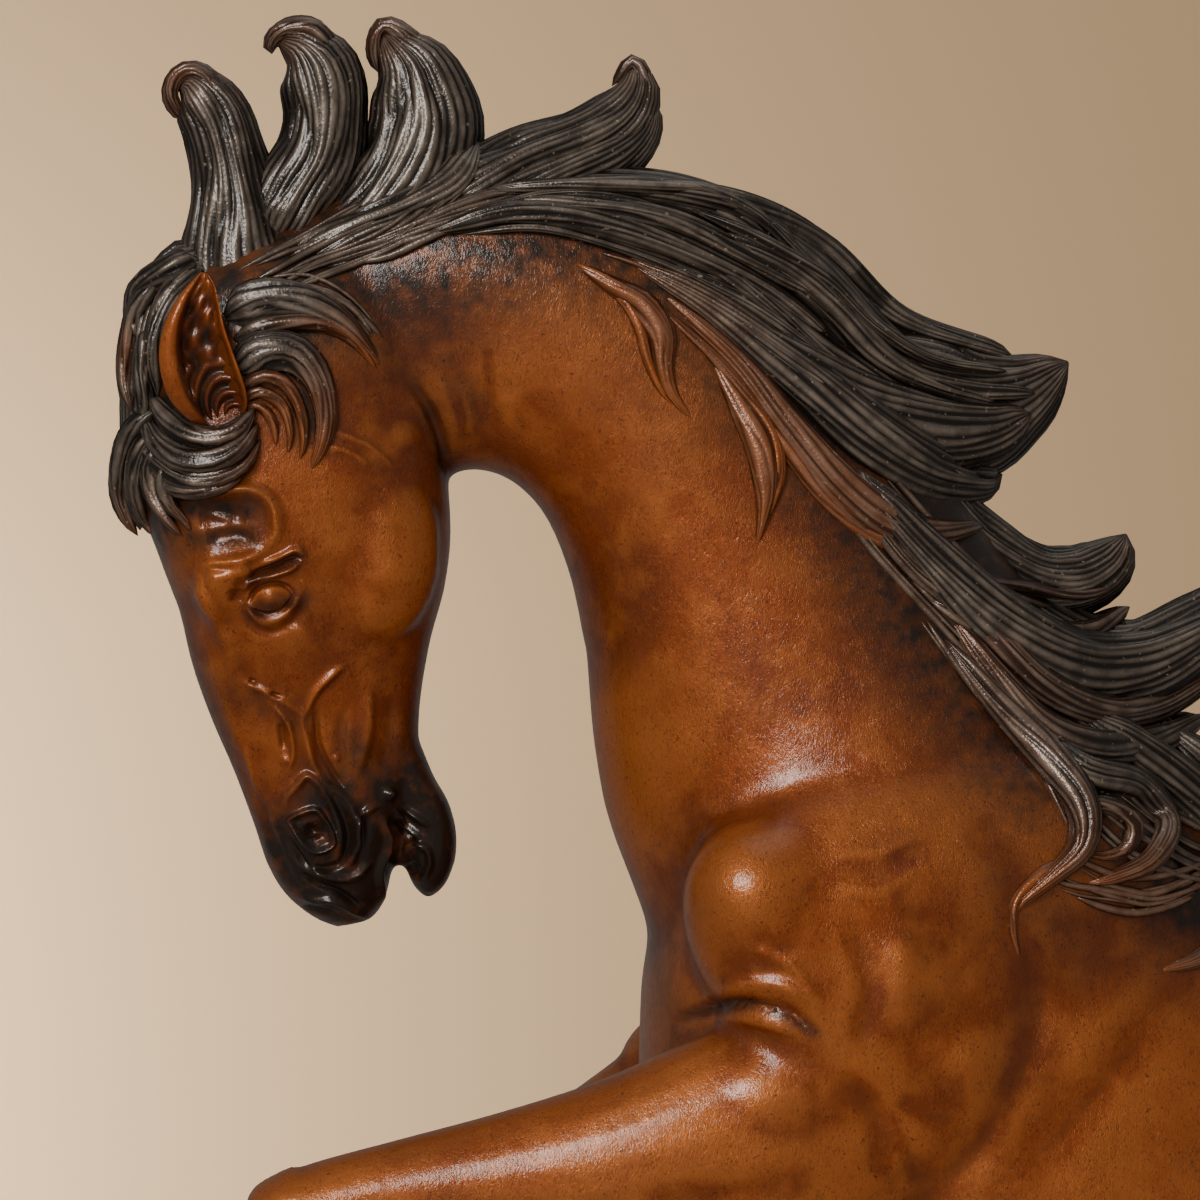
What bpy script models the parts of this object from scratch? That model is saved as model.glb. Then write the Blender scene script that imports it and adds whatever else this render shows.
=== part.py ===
"""Rearing horse statuette: a cast bronze horse on its own low bronze ground, Blender 4.5.

Metres, +Z up, the origin at the middle of the ground's underside. The horse faces -X and its left side is -Y.
The figure is drawn on a squared sheet seen from its left side: columns count to the right, rows count down
from the tip of the highest lock to the soles, and a third number gives how far a form lies to the right (+)
or left (-) of the middle plane. All three are in squares, so the whole figure follows HORSE_HEIGHT.
"""

import math

import bmesh
import bpy
import numpy as np
from mathutils import Vector

# Driving sizes in metres
HORSE_HEIGHT = 0.420
GROUND_LENGTH = 0.186
GROUND_WIDTH = 0.112
GROUND_HEIGHT = 0.020
GROUND_EDGE = 0.0035
SEAT_GAP = 0.0003

# The squared sheet: its rows at the highest lock and at the soles, and the column over the ground's middle
TOP_ROW = 18
SOLE_ROW = 3080
MIDDLE_COLUMN = 1545
SQUARE = HORSE_HEIGHT / (SOLE_ROW - TOP_ROW)

# The trunk is drawn standing, from the point of the shoulder, and then reared up about it
REAR_ANGLE = math.radians(55)
SHOULDER = (725, 900)

# The forms of the near side are drawn as the eye sees them, from a little ahead and from this far away
VIEW_TURN = math.radians(6)
VIEW_DISTANCE = 0.62
VIEW_MIDDLE = (600, 600)

# How finely the forms are merged, in squares, and how many faces the casting keeps
BODY_MERGE_SQUARES = 10.2
BODY_SMOOTHING = 22
MERGE_SQUARES = 7.3
MERGE_SMOOTHING = 5
KEPT_FACES = 9200
FINE_ROW = 1250

# Forms are rows of front column, front row, back column, back row, aside, half width, widest share, squareness
NECK = [
    (205, 285, 425, 480, 0, 70, 0.50, 2.2),
    (262, 235, 448, 476, 0, 80, 0.50, 2.2),
    (345, 196, 474, 470, 0, 86, 0.48, 2.2),
    (450, 172, 510, 480, 0, 94, 0.46, 2.2),
    (565, 168, 545, 515, 0, 102, 0.45, 2.1),
    (680, 200, 570, 575, 0, 110, 0.44, 2.0),
    (790, 275, 585, 645, 0, 120, 0.43, 2.0),
    (885, 380, 597, 725, 0, 134, 0.42, 2.0),
    (975, 500, 612, 815, 0, 156, 0.42, 2.0),
    (1070, 625, 640, 905, 0, 182, 0.42, 2.0),
    (1165, 740, 672, 1000, 0, 204, 0.42, 2.0),
    (1250, 830, 690, 1100, 0, 214, 0.45, 2.0),
    (1310, 930, 720, 1200, 0, 210, 0.45, 2.0),
]
HEAD = [
    (205, 262, 330, 240, 0, 52, 0.50, 2.2),
    (170, 300, 400, 268, 0, 82, 0.50, 2.3),
    (150, 360, 440, 326, 0, 98, 0.52, 2.4),
    (140, 430, 446, 400, 0, 104, 0.56, 2.5),
    (140, 500, 447, 470, 0, 112, 0.62, 2.6),
    (155, 560, 450, 535, 0, 114, 0.66, 2.6),
    (175, 610, 444, 588, 0, 104, 0.66, 2.5),
    (193, 662, 430, 640, 0, 88, 0.64, 2.5),
    (212, 716, 420, 700, 0, 74, 0.60, 2.5),
    (236, 772, 417, 752, 0, 65, 0.56, 2.5),
    (256, 826, 408, 802, 0, 64, 0.54, 2.4),
    (268, 862, 396, 838, 0, 62, 0.54, 2.3),
    (286, 892, 391, 872, 0, 54, 0.54, 2.2),
    (312, 914, 384, 900, 0, 42, 0.52, 2.1),
    (336, 925, 372, 917, 0, 24, 0.50, 2.0),
]
CHIN = [
    (360, 740, 420, 742, 0, 44, 0.50, 2.2),
    (385, 780, 434, 776, 0, 42, 0.50, 2.2),
    (398, 812, 448, 800, 0, 40, 0.50, 2.2),
    (404, 842, 456, 830, 0, 38, 0.50, 2.2),
    (406, 868, 455, 858, 0, 35, 0.50, 2.2),
    (414, 886, 446, 882, 0, 26, 0.50, 2.0),
    (424, 896, 434, 895, 0, 10, 0.50, 2.0),
]
# Trunk rows, drawn standing: along from the shoulder, low, high, half width, widest share, squareness
TRUNK = [
    (-26, -60, 60, 110, 0.50, 2.2),
    (10, -104, 190, 176, 0.48, 2.2),
    (70, -152, 310, 206, 0.46, 2.1),
    (160, -216, 400, 220, 0.45, 2.0),
    (270, -264, 462, 234, 0.43, 1.9),
    (400, -286, 484, 252, 0.40, 1.9),
    (560, -288, 458, 272, 0.40, 2.0),
    (740, -282, 430, 286, 0.42, 2.0),
    (920, -250, 432, 282, 0.44, 2.0),
    (1080, -200, 460, 266, 0.48, 2.0),
    (1230, -120, 490, 262, 0.50, 2.1),
    (1370, -20, 480, 248, 0.50, 2.1),
    (1490, 80, 430, 205, 0.50, 2.1),
    (1580, 150, 370, 130, 0.50, 2.0),
]
SCAPULA = [
    (1090, 745, 1200, 900, 128, 50, 0.5, 2.0),
    (970, 748, 1130, 960, 146, 62, 0.5, 2.0),
    (850, 772, 1065, 1020, 162, 72, 0.5, 2.0),
    (752, 818, 1030, 1085, 174, 80, 0.5, 2.1),
    (694, 884, 1004, 1135, 180, 84, 0.5, 2.1),
    (690, 955, 980, 1180, 182, 80, 0.5, 2.1),
    (735, 1030, 950, 1215, 182, 66, 0.5, 2.0),
]
FOREARM = [
    (800, 1000, 930, 1222, 184, 72, 0.5, 2.0),
    (700, 1036, 850, 1288, 188, 82, 0.5, 2.1),
    (600, 1080, 700, 1306, 188, 80, 0.5, 2.1),
    (500, 1112, 560, 1290, 186, 68, 0.5, 2.0),
    (400, 1139, 440, 1268, 184, 57, 0.5, 2.0),
    (322, 1160, 350, 1262, 184, 52, 0.5, 2.0),
    (264, 1180, 318, 1272, 184, 55, 0.5, 2.2),
]
CANNON = [
    (290, 1166, 352, 1266, 184, 50, 0.5, 2.1),
    (250, 1192, 352, 1290, 184, 56, 0.5, 2.2),
    (247, 1238, 350, 1308, 184, 54, 0.5, 2.2),
    (268, 1290, 352, 1326, 184, 44, 0.5, 2.1),
    (302, 1372, 378, 1372, 184, 35, 0.5, 2.0),
    (340, 1456, 414, 1440, 184, 33, 0.5, 2.0),
    (368, 1520, 462, 1494, 184, 40, 0.5, 2.1),
    (404, 1568, 486, 1520, 184, 38, 0.5, 2.1),
    (450, 1606, 512, 1540, 184, 33, 0.5, 2.0),
]
FORE_HOOF = [
    (448, 1606, 508, 1534, 184, 34, 0.5, 2.0),
    (472, 1646, 546, 1556, 184, 44, 0.5, 2.1),
    (492, 1652, 560, 1556, 184, 46, 0.5, 2.1),
    (558, 1706, 612, 1588, 184, 56, 0.5, 2.1),
    (572, 1716, 618, 1592, 184, 54, 0.5, 2.1),
]
THIGH = [
    (1540, 1500, 1870, 1680, 100, 60, 0.5, 2.0),
    (1420, 1640, 1912, 1850, 122, 108, 0.5, 2.0),
    (1318, 1800, 1908, 1990, 136, 118, 0.52, 2.0),
    (1252, 1950, 1870, 2110, 146, 120, 0.52, 2.0),
    (1238, 2080, 1800, 2220, 152, 110, 0.52, 2.0),
    (1262, 2196, 1744, 2302, 156, 94, 0.52, 2.0),
    (1326, 2306, 1692, 2368, 158, 76, 0.52, 2.1),
    (1412, 2396, 1662, 2420, 158, 60, 0.52, 2.1),
    (1478, 2466, 1650, 2462, 158, 48, 0.5, 2.0),
]
HIND_CANNON = [
    (1448, 2424, 1640, 2440, 158, 50, 0.5, 2.0),
    (1506, 2508, 1688, 2480, 158, 46, 0.5, 2.1),
    (1518, 2560, 1690, 2526, 158, 46, 0.5, 2.1),
    (1508, 2622, 1636, 2612, 158, 42, 0.5, 2.1),
    (1478, 2706, 1580, 2718, 158, 35, 0.5, 2.0),
    (1444, 2790, 1530, 2812, 158, 34, 0.5, 2.0),
    (1404, 2862, 1512, 2886, 158, 42, 0.5, 2.1),
    (1368, 2914, 1486, 2942, 158, 40, 0.5, 2.1),
    (1336, 2956, 1440, 2986, 158, 37, 0.5, 2.1),
]
HIND_HOOF = [
    (1340, 2948, 1440, 2976, 158, 38, 0.5, 2.1),
    (1318, 2974, 1448, 2998, 158, 50, 0.5, 2.1),
    (1306, 2984, 1450, 3008, 158, 52, 0.5, 2.1),
    (1262, 3076, 1452, 3078, 158, 62, 0.5, 2.1),
    (1256, 3110, 1452, 3110, 158, 64, 0.5, 2.1),
]
# Where the thigh and the neck are too thin to be rounded with the body
THIN_THIGH_ROW = 3
THIN_NECK_ROW = 7
# Swellings of the muscles: column, row, aside, half length, half height, half width
MUSCLES = [
    (1330, 1900, 112, 110, 70, 78),
    (757, 905, 176, 76, 84, 84),
    (880, 985, 190, 110, 90, 76),
    (950, 1080, 170, 100, 120, 84),
    (770, 1110, 188, 110, 80, 82),
    (1590, 2010, 170, 190, 170, 104),
    (1740, 1880, 140, 130, 150, 116),
]
FACE_SWELLINGS = [
    (372, 548, 62, 68, 100, 52),
    (222, 573, 88, 36, 22, 30),
    (276, 597, 88, 24, 17, 27),
    (316, 834, 46, 30, 30, 24),
    (345, 700, 40, 40, 110, 32),
]
# The swing of the far limbs against the near ones, and where they turn
FAR_FORE_SWING = math.radians(12)
FAR_FORE_FOLD = math.radians(16)
FORE_ELBOW = (870, 1110)
FORE_KNEE = (275, 1200)
FAR_HIND_STEP = 135
HIND_HIP_ROW = 1900

EAR = [
    (201, 272, 207, 274, 124, 5, 0.5, 2.0),
    (182, 294, 215, 302, 128, 11, 0.5, 2.0),
    (166, 326, 228, 338, 128, 16, 0.5, 2.0),
    (161, 358, 238, 370, 126, 20, 0.5, 2.0),
    (172, 386, 244, 392, 118, 24, 0.5, 2.0),
    (186, 408, 247, 412, 102, 28, 0.5, 2.0),
    (206, 430, 246, 432, 78, 26, 0.5, 2.0),
]

# Locks are rows of column, row, aside, half breadth, half thickness
CREST_LOCKS = [
    [(240, 300, 0, 56, 56), (234, 258, 0, 51, 52), (235, 216, 0, 49, 48), (233, 182, 0, 42, 42),
     (226, 150, 0, 37, 38), (217, 122, 0, 36, 36), (203, 100, 0, 32, 33), (190, 85, 0, 20, 23), (178, 83, 0, 10, 12)],
    [(272, 240, 0, 42, 48), (296, 198, 0, 45, 46), (318, 160, 0, 43, 42), (325, 124, 0, 40, 40),
     (324, 90, 0, 42, 38), (316, 64, 0, 38, 34), (298, 45, 0, 22, 26), (276, 39, 0, 10, 13)],
    [(290, 262, 0, 18, 56), (340, 240, 0, 34, 56), (386, 208, 0, 50, 54), (414, 170, 0, 55, 52),
     (426, 130, 0, 57, 48), (421, 94, 0, 50, 42), (412, 68, 0, 40, 36), (396, 48, 0, 24, 26), (382, 32, 0, 11, 14)],
    [(450, 190, 0, 46, 58), (520, 164, 0, 44, 50), (580, 142, 0, 38, 42), (622, 116, 0, 34, 34),
     (638, 88, 0, 21, 24), (638, 64, 0, 10, 12)],
    [(470, 200, 0, 34, 66), (580, 208, 0, 42, 70), (690, 224, 0, 44, 70), (776, 280, 0, 38, 66),
     (844, 350, 0, 48, 58), (910, 422, 0, 58, 50), (960, 476, 0, 42, 42)],
    [(740, 306, 0, 44, 58), (830, 366, 0, 56, 54), (905, 398, 0, 76, 46), (968, 408, 0, 76, 36),
     (1018, 396, 0, 46, 28), (1048, 376, 0, 24, 21), (1066, 362, 0, 8, 10)],
    [(880, 470, 0, 44, 56), (960, 540, 0, 42, 48), (1030, 582, 0, 36, 38), (1086, 578, 0, 33, 33),
     (1116, 562, 0, 26, 27)],
    [(900, 520, 0, 40, 66), (990, 610, 0, 52, 62), (1070, 672, 0, 58, 54), (1140, 684, 0, 58, 46),
     (1200, 652, 0, 50, 38), (1256, 606, 0, 32, 28), (1296, 560, 0, 13, 14)],
    [(1010, 640, 0, 46, 76), (1110, 745, 0, 58, 74), (1200, 812, 0, 54, 66), (1280, 830, 0, 44, 52),
     (1340, 800, 0, 26, 32), (1372, 764, 0, 11, 13)],
    [(1130, 770, 0, 50, 74), (1220, 860, 0, 50, 66), (1310, 905, 0, 40, 50), (1390, 915, 0, 22, 28),
     (1436, 900, 0, 8, 10)],
]
SIDE_LOCKS = [
    [(540, 196, 56, 16, 20), (640, 212, 78, 24, 24), (720, 236, 88, 30, 26), (790, 284, 90, 34, 28),
     (850, 330, 80, 34, 26), (905, 350, 58, 26, 24)],
    [(610, 244, 82, 12, 16), (700, 280, 98, 24, 22), (775, 330, 104, 34, 26), (850, 372, 98, 44, 28),
     (930, 396, 74, 54, 28), (1000, 396, 42, 48, 22), (1050, 374, 16, 26, 16), (1076, 358, 4, 7, 8)],
    [(640, 258, 90, 9, 14), (720, 310, 106, 20, 20), (800, 372, 114, 34, 26), (870, 432, 108, 44, 28),
     (935, 470, 86, 40, 26), (990, 482, 58, 24, 20)],
    [(672, 302, 104, 8, 10), (740, 362, 116, 16, 18), (788, 426, 124, 22, 22), (838, 486, 128, 27, 24),
     (888, 528, 122, 27, 22), (942, 538, 104, 18, 18), (998, 518, 76, 7, 8)],
    [(576, 268, 98, 4, 6), (614, 290, 106, 11, 13), (644, 310, 112, 15, 15), (661, 338, 114, 15, 14),
     (664, 366, 116, 11, 11), (674, 394, 118, 7, 8), (692, 418, 118, 3, 4)],
    [(716, 370, 116, 5, 8), (742, 408, 124, 15, 15), (764, 446, 130, 20, 17), (768, 486, 134, 16, 15),
     (764, 518, 136, 9, 10), (758, 542, 136, 3, 4)],
    [(236, 304, 52, 22, 24), (290, 302, 72, 26, 22), (336, 322, 82, 19, 18), (362, 346, 86, 10, 11),
     (378, 368, 88, 3, 4)],
    [(246, 352, 66, 22, 22), (286, 362, 92, 26, 22), (314, 388, 102, 22, 20), (326, 420, 108, 16, 15),
     (320, 446, 110, 10, 10), (308, 468, 110, 3, 4)],
    [(850, 470, 112, 20, 24), (930, 566, 124, 32, 30), (1010, 650, 130, 40, 34), (1080, 700, 122, 42, 32),
     (1150, 700, 94, 38, 30), (1220, 662, 60, 24, 22), (1262, 630, 36, 8, 10)],
    [(930, 600, 132, 18, 22), (1010, 700, 148, 28, 30), (1090, 782, 156, 36, 34), (1150, 834, 152, 32, 30),
     (1130, 884, 152, 22, 22), (1072, 894, 160, 12, 14), (1018, 914, 166, 4, 6)],
    [(1080, 720, 132, 24, 28), (1170, 800, 146, 36, 34), (1250, 880, 152, 34, 30), (1290, 950, 160, 22, 22),
     (1250, 990, 176, 12, 14), (1196, 1000, 190, 4, 6)],
]
FORELOCK = [
    [(232, 268, 0, 60, 48), (188, 290, 0, 52, 46), (158, 330, 0, 34, 62), (146, 390, 0, 30, 64),
     (140, 450, 0, 28, 56), (132, 500, 0, 24, 44), (134, 532, 0, 8, 16)],
    [(236, 420, 78, 12, 16), (214, 462, 86, 24, 18), (172, 480, 76, 26, 20), (142, 470, 52, 22, 24),
     (128, 498, 38, 15, 20), (134, 532, 28, 6, 9)],
    [(200, 300, 40, 20, 22), (160, 340, 56, 18, 18), (150, 400, 68, 18, 16), (166, 450, 76, 14, 14),
     (178, 500, 66, 12, 14), (188, 532, 58, 3, 4)],
]
TAIL = [
    [(1780, 1860, 0, 40, 40), (1860, 1800, 0, 62, 56), (1960, 1770, 0, 72, 64), (2060, 1810, 0, 82, 72),
     (2140, 1920, 0, 92, 80), (2180, 2090, 0, 100, 86), (2184, 2290, 0, 102, 86), (2150, 2500, 0, 96, 82),
     (2096, 2710, 0, 86, 76), (2044, 2910, 0, 78, 68), (2010, 3120, 0, 70, 60)],
    [(2080, 1900, 20, 20, 24), (2190, 1990, 40, 44, 44), (2262, 2130, 44, 44, 42), (2286, 2280, 32, 34, 34),
     (2316, 2400, 14, 20, 22), (2364, 2470, 0, 5, 7)],
    [(2130, 2060, -20, 20, 24), (2180, 2260, -50, 46, 46), (2222, 2460, -52, 46, 42), (2214, 2640, -42, 34, 34),
     (2236, 2770, -24, 20, 22), (2282, 2840, -12, 5, 7)],
    [(2150, 2240, -20, 20, 24), (2096, 2440, -54, 44, 42), (2030, 2640, -56, 42, 38), (1976, 2810, -46, 32, 30),
     (1926, 2920, -34, 18, 20), (1872, 2972, -26, 5, 7)],
    [(2150, 2340, 20, 20, 24), (2084, 2560, 54, 44, 40), (2050, 2740, 56, 42, 38), (2000, 2900, 46, 30, 30),
     (1950, 2990, 34, 16, 18), (1900, 3030, 26, 5, 7)],
    [(2150, 2440, 20, 24, 30), (2130, 2660, 36, 44, 44), (2106, 2850, 36, 40, 40), (2130, 2970, 28, 24, 26),
     (2180, 3030, 20, 6, 8)],
]

BRONZE_BROWN = (0.20, 0.068, 0.020, 1.0)
BRONZE_DARK = (0.035, 0.024, 0.018, 1.0)


def place(column, row, aside=0.0):
    """The point in metres of a place on the squared sheet, with the soles at their seat on the ground."""
    return Vector(
        (
            (column - MIDDLE_COLUMN) * SQUARE,
            aside * SQUARE,
            GROUND_HEIGHT + SEAT_GAP + (SOLE_ROW - row) * SQUARE,
        )
    )


def curve_through(rows, steps):
    """The rows, and steps - 1 more between each two, on one smooth curve."""
    rows = np.asarray(rows, float)
    padded = np.vstack([2 * rows[0] - rows[1], rows, 2 * rows[-1] - rows[-2]])
    found = []
    for i in range(1, len(padded) - 2):
        before, start, end, after = padded[i - 1 : i + 3]
        for t in np.arange(steps) / steps:
            bend = (2 * before - 5 * start + 4 * end - after) * t**2
            twist = (3 * start - before - 3 * end + after) * t**3
            found.append(0.5 * (2 * start + (end - before) * t + bend + twist))
    return np.vstack([found, rows[-1:]])


def reared(along, height):
    """A place on the sheet for a point of the standing trunk, given from the point of the shoulder."""
    turn_c, turn_s = math.cos(REAR_ANGLE), math.sin(REAR_ANGLE)
    return (
        SHOULDER[0] + along * turn_c + height * turn_s,
        SHOULDER[1] + along * turn_s - height * turn_c,
    )


def squared(column, row, aside):
    """The square place on the sheet of a near form's place that is drawn as the eye sees it."""
    distance = VIEW_DISTANCE / SQUARE
    turn_c, turn_s = math.cos(VIEW_TURN), math.sin(VIEW_TURN)
    across, down, near = column - VIEW_MIDDLE[0], row - VIEW_MIDDLE[1], abs(aside)
    along = across * (distance - near * turn_c) - distance * near * turn_s
    along /= distance * turn_c - across * turn_s
    nearer = near * turn_c - along * turn_s
    return VIEW_MIDDLE[0] + along, VIEW_MIDDLE[1] + down * (distance - nearer) / distance


def squared_rows(rows):
    """A near form's rows, drawn as the eye sees them, with their places made square."""
    return [(*squared(*row[0:2], row[4]), *squared(*row[2:4], row[4]), *row[4:]) for row in rows]


def turned(column, row, pivot, angle):
    """A place on the sheet turned about a pivot, clockwise as drawn for a positive angle."""
    across, down = column - pivot[0], row - pivot[1]
    return (
        pivot[0] + across * math.cos(angle) - down * math.sin(angle),
        pivot[1] + across * math.sin(angle) + down * math.cos(angle),
    )


def turned_rows(rows, pivot, angle):
    """A form's rows with their front and back places turned about a pivot."""
    return [
        (*turned(*row[0:2], pivot, angle), *turned(*row[2:4], pivot, angle), *row[4:])
        for row in rows
    ]


def on_side(rows, side):
    """A form's rows moved to the left side (-1) or the right side (1)."""
    return [(*row[:4], side * row[4], *row[5:]) for row in rows]


def loft(mesh, rings):
    """Adds a closed skin over rings of points, each ring joined to the next and the ends filled."""
    made = [[mesh.verts.new(point) for point in ring] for ring in rings]
    sides = len(made[0])
    faces = []
    for ring, following in zip(made, made[1:]):
        for i in range(sides):
            j = (i + 1) % sides
            faces.append(mesh.faces.new((ring[i], ring[j], following[j], following[i])))
    faces.append(mesh.faces.new(made[0][::-1]))
    faces.append(mesh.faces.new(made[-1]))
    bmesh.ops.recalc_face_normals(mesh, faces=faces)


def rounded(angle, squareness):
    """The cosine and sine of an angle, swollen towards a square."""
    c, s = math.cos(angle), math.sin(angle)
    power = 2 / squareness
    return math.copysign(abs(c) ** power, c), math.copysign(abs(s) ** power, s)


def add_form(mesh, rows, sides=24, steps=4):
    """Adds a body form: egg-shaped rings between a front and a back outline."""
    rings = []
    for front_c, front_r, back_c, back_r, aside, half_width, widest, squareness in curve_through(rows, steps):
        ring = []
        for i in range(sides):
            along, across = rounded(2 * math.pi * (i + 0.5) / sides, squareness)
            share = widest + along * ((1 - widest) if along > 0 else widest)
            ring.append(
                place(
                    back_c + (front_c - back_c) * share,
                    back_r + (front_r - back_r) * share,
                    aside + half_width * across,
                )
            )
        rings.append(ring)
    loft(mesh, rings)


def add_swelling(mesh, column, row, aside, half_length, half_height, half_width, sides=16):
    """Adds an egg-shaped muscle."""
    rings = []
    for i in range(1, sides // 2):
        along = math.cos(2 * math.pi * i / sides)
        girth = math.sin(2 * math.pi * i / sides)
        ring = []
        for j in range(sides):
            turn = 2 * math.pi * j / sides
            ring.append(
                place(
                    column + half_length * along,
                    row + half_height * girth * math.cos(turn),
                    aside + half_width * girth * math.sin(turn),
                )
            )
        rings.append(ring)
    loft(mesh, rings)


def add_lock(mesh, rows, side=1, sides=14, steps=4):
    """Adds a lock of hair: a flattened tube along a curve, broad in the plane of the sheet."""
    path = curve_through([(*squared(c, r, a), side * a, b, t) for c, r, a, b, t in rows], steps)
    points = [place(*row[:3]) for row in path]
    rings = []
    for i, row in enumerate(path):
        ahead = points[min(i + 1, len(points) - 1)] - points[max(i - 1, 0)]
        broad = ahead.cross(Vector((0, 1, 0))).normalized()
        thick = broad.cross(ahead).normalized()
        half_breadth, half_thickness = row[3] * SQUARE, row[4] * SQUARE
        rings.append(
            [
                points[i]
                + broad * (half_breadth * math.cos(2 * math.pi * j / sides))
                + thick * (half_thickness * math.sin(2 * math.pi * j / sides))
                for j in range(sides)
            ]
        )
    loft(mesh, rings)


def add_trunk(mesh):
    """Adds the barrel, drawn standing and reared up."""
    rows = [
        (*reared(along, high), *reared(along, low), 0, half_width, widest, squareness)
        for along, low, high, half_width, widest, squareness in TRUNK
    ]
    add_form(mesh, rows, sides=32)


def add_foreleg(mesh, side):
    """Adds a raised foreleg. The right one hangs lower and is folded more."""
    swing = FAR_FORE_SWING if side > 0 else 0.0
    fold = FAR_FORE_FOLD if side > 0 else 0.0
    add_form(mesh, on_side(turned_rows(squared_rows(FOREARM), FORE_ELBOW, -swing), side))
    for rows in (CANNON, FORE_HOOF):
        folded = turned_rows(squared_rows(rows), FORE_KNEE, -fold)
        add_form(mesh, on_side(turned_rows(folded, FORE_ELBOW, -swing), side))


def stepped(rows, side):
    """A hind leg's rows on their side. The right leg stands a step behind."""
    step = FAR_HIND_STEP if side > 0 else 0.0
    moved = []
    for row in rows:
        front_share = max(0.0, (row[1] - HIND_HIP_ROW) / (SOLE_ROW - HIND_HIP_ROW))
        back_share = max(0.0, (row[3] - HIND_HIP_ROW) / (SOLE_ROW - HIND_HIP_ROW))
        moved.append((row[0] + step * front_share, row[1], row[2] + step * back_share, *row[3:]))
    return on_side(moved, side)


def add_hind_leg(mesh, side):
    """Adds a standing hind leg from the stifle down."""
    for rows in (THIGH[THIN_THIGH_ROW:], HIND_CANNON, HIND_HOOF):
        add_form(mesh, stepped(rows, side))


def add_swellings(mesh, swellings, side):
    """Adds the swellings of one side, given as the eye sees them."""
    for column, row, aside, half_length, half_height, half_width in swellings:
        column, row = squared(column, row, aside)
        add_swelling(mesh, column, row, side * aside, half_length, half_height, half_width)


def add_head(mesh):
    """Adds the head with its open mouth, ears and forelock."""
    add_form(mesh, HEAD, sides=28)
    add_form(mesh, CHIN)
    for side in (-1, 1):
        add_form(mesh, on_side(squared_rows(EAR), side))
        add_swellings(mesh, FACE_SWELLINGS, side)
        for lock in FORELOCK:
            add_lock(mesh, lock, side)


def new_object(name, mesh, colour, roughness, metallic):
    """A named object in the scene from a bmesh, with its own material."""
    data = bpy.data.meshes.new(name)
    mesh.to_mesh(data)
    mesh.free()
    made = bpy.data.objects.new(name, data)
    bpy.context.scene.collection.objects.link(made)
    finish = bpy.data.materials.new(name + "_bronze")
    finish.use_nodes = True
    shader = finish.node_tree.nodes["Principled BSDF"]
    shader.inputs["Base Color"].default_value = colour
    shader.inputs["Roughness"].default_value = roughness
    shader.inputs["Metallic"].default_value = metallic
    data.materials.append(finish)
    return made


def apply_modifiers(made):
    """Replaces an object's mesh by what its modifiers make of it."""
    bpy.context.view_layer.update()
    graph = bpy.context.evaluated_depsgraph_get()
    data = bpy.data.meshes.new_from_object(made.evaluated_get(graph))
    made.modifiers.clear()
    made.data = data


def merge_forms(made, size, smoothing):
    """Melts the overlapping forms into one skin, as wax would be, and rounds where they meet."""
    remesh = made.modifiers.new("merge", "REMESH")
    remesh.mode = "VOXEL"
    remesh.voxel_size = size
    smooth = made.modifiers.new("round", "SMOOTH")
    smooth.factor = 0.5
    smooth.iterations = smoothing
    apply_modifiers(made)


def thin_faces(made):
    """Keeps fewer faces, most of them where the carving is fine: the head, the neck and the mane."""
    fine_height = place(0, FINE_ROW).z
    fade = (TOP_ROW - FINE_ROW) * -SQUARE / 3
    plain = made.vertex_groups.new(name="plain")
    for vertex in made.data.vertices:
        share = min(1.0, max(0.0, (fine_height - vertex.co.z) / fade))
        plain.add([vertex.index], 0.62 + 0.38 * share, "REPLACE")
    decimate = made.modifiers.new("thin", "DECIMATE")
    decimate.vertex_group = "plain"
    decimate.ratio = KEPT_FACES / (2 * len(made.data.polygons))
    apply_modifiers(made)


def largest_piece(mesh):
    """Removes all but the largest connected piece of a mesh."""
    left = set(mesh.verts)
    pieces = []
    while left:
        piece = {left.pop()}
        edge_of = list(piece)
        while edge_of:
            vertex = edge_of.pop()
            reached = {edge.other_vert(vertex) for edge in vertex.link_edges} - piece
            piece |= reached
            edge_of.extend(reached)
        left -= piece
        pieces.append(piece)
    largest = max(pieces, key=len)
    loose = [vertex for vertex in mesh.verts if vertex not in largest]
    bmesh.ops.delete(mesh, geom=loose, context="VERTS")


def mend(mesh):
    """Opens and closes again each place where the skin touches itself along an edge."""
    for _ in range(6):
        pinched = {vertex for edge in mesh.edges if len(edge.link_faces) != 2 for vertex in edge.verts}
        pinched |= {vertex for vertex in mesh.verts if not vertex.is_manifold}
        if not pinched:
            return
        bmesh.ops.delete(mesh, geom=list(pinched), context="VERTS")
        rims = [edge for edge in mesh.edges if edge.is_boundary]
        bmesh.ops.holes_fill(mesh, edges=rims, sides=0)
        bmesh.ops.triangulate(mesh, faces=[face for face in mesh.faces if len(face.verts) > 3])


def cut_soles(made):
    """Cuts the hooves and the tail off flat where they meet the ground."""
    mesh = bmesh.new()
    mesh.from_mesh(made.data)
    cut = bmesh.ops.bisect_plane(
        mesh,
        geom=mesh.verts[:] + mesh.edges[:] + mesh.faces[:],
        plane_co=place(0, SOLE_ROW),
        plane_no=(0, 0, -1),
        clear_outer=True,
    )
    rim = [edge for edge in cut["geom_cut"] if isinstance(edge, bmesh.types.BMEdge)]
    bmesh.ops.edgeloop_fill(mesh, edges=rim)
    bmesh.ops.triangulate(mesh, faces=mesh.faces[:])
    largest_piece(mesh)
    mend(mesh)
    bmesh.ops.recalc_face_normals(mesh, faces=mesh.faces[:])
    mesh.to_mesh(made.data)
    mesh.free()


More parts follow.
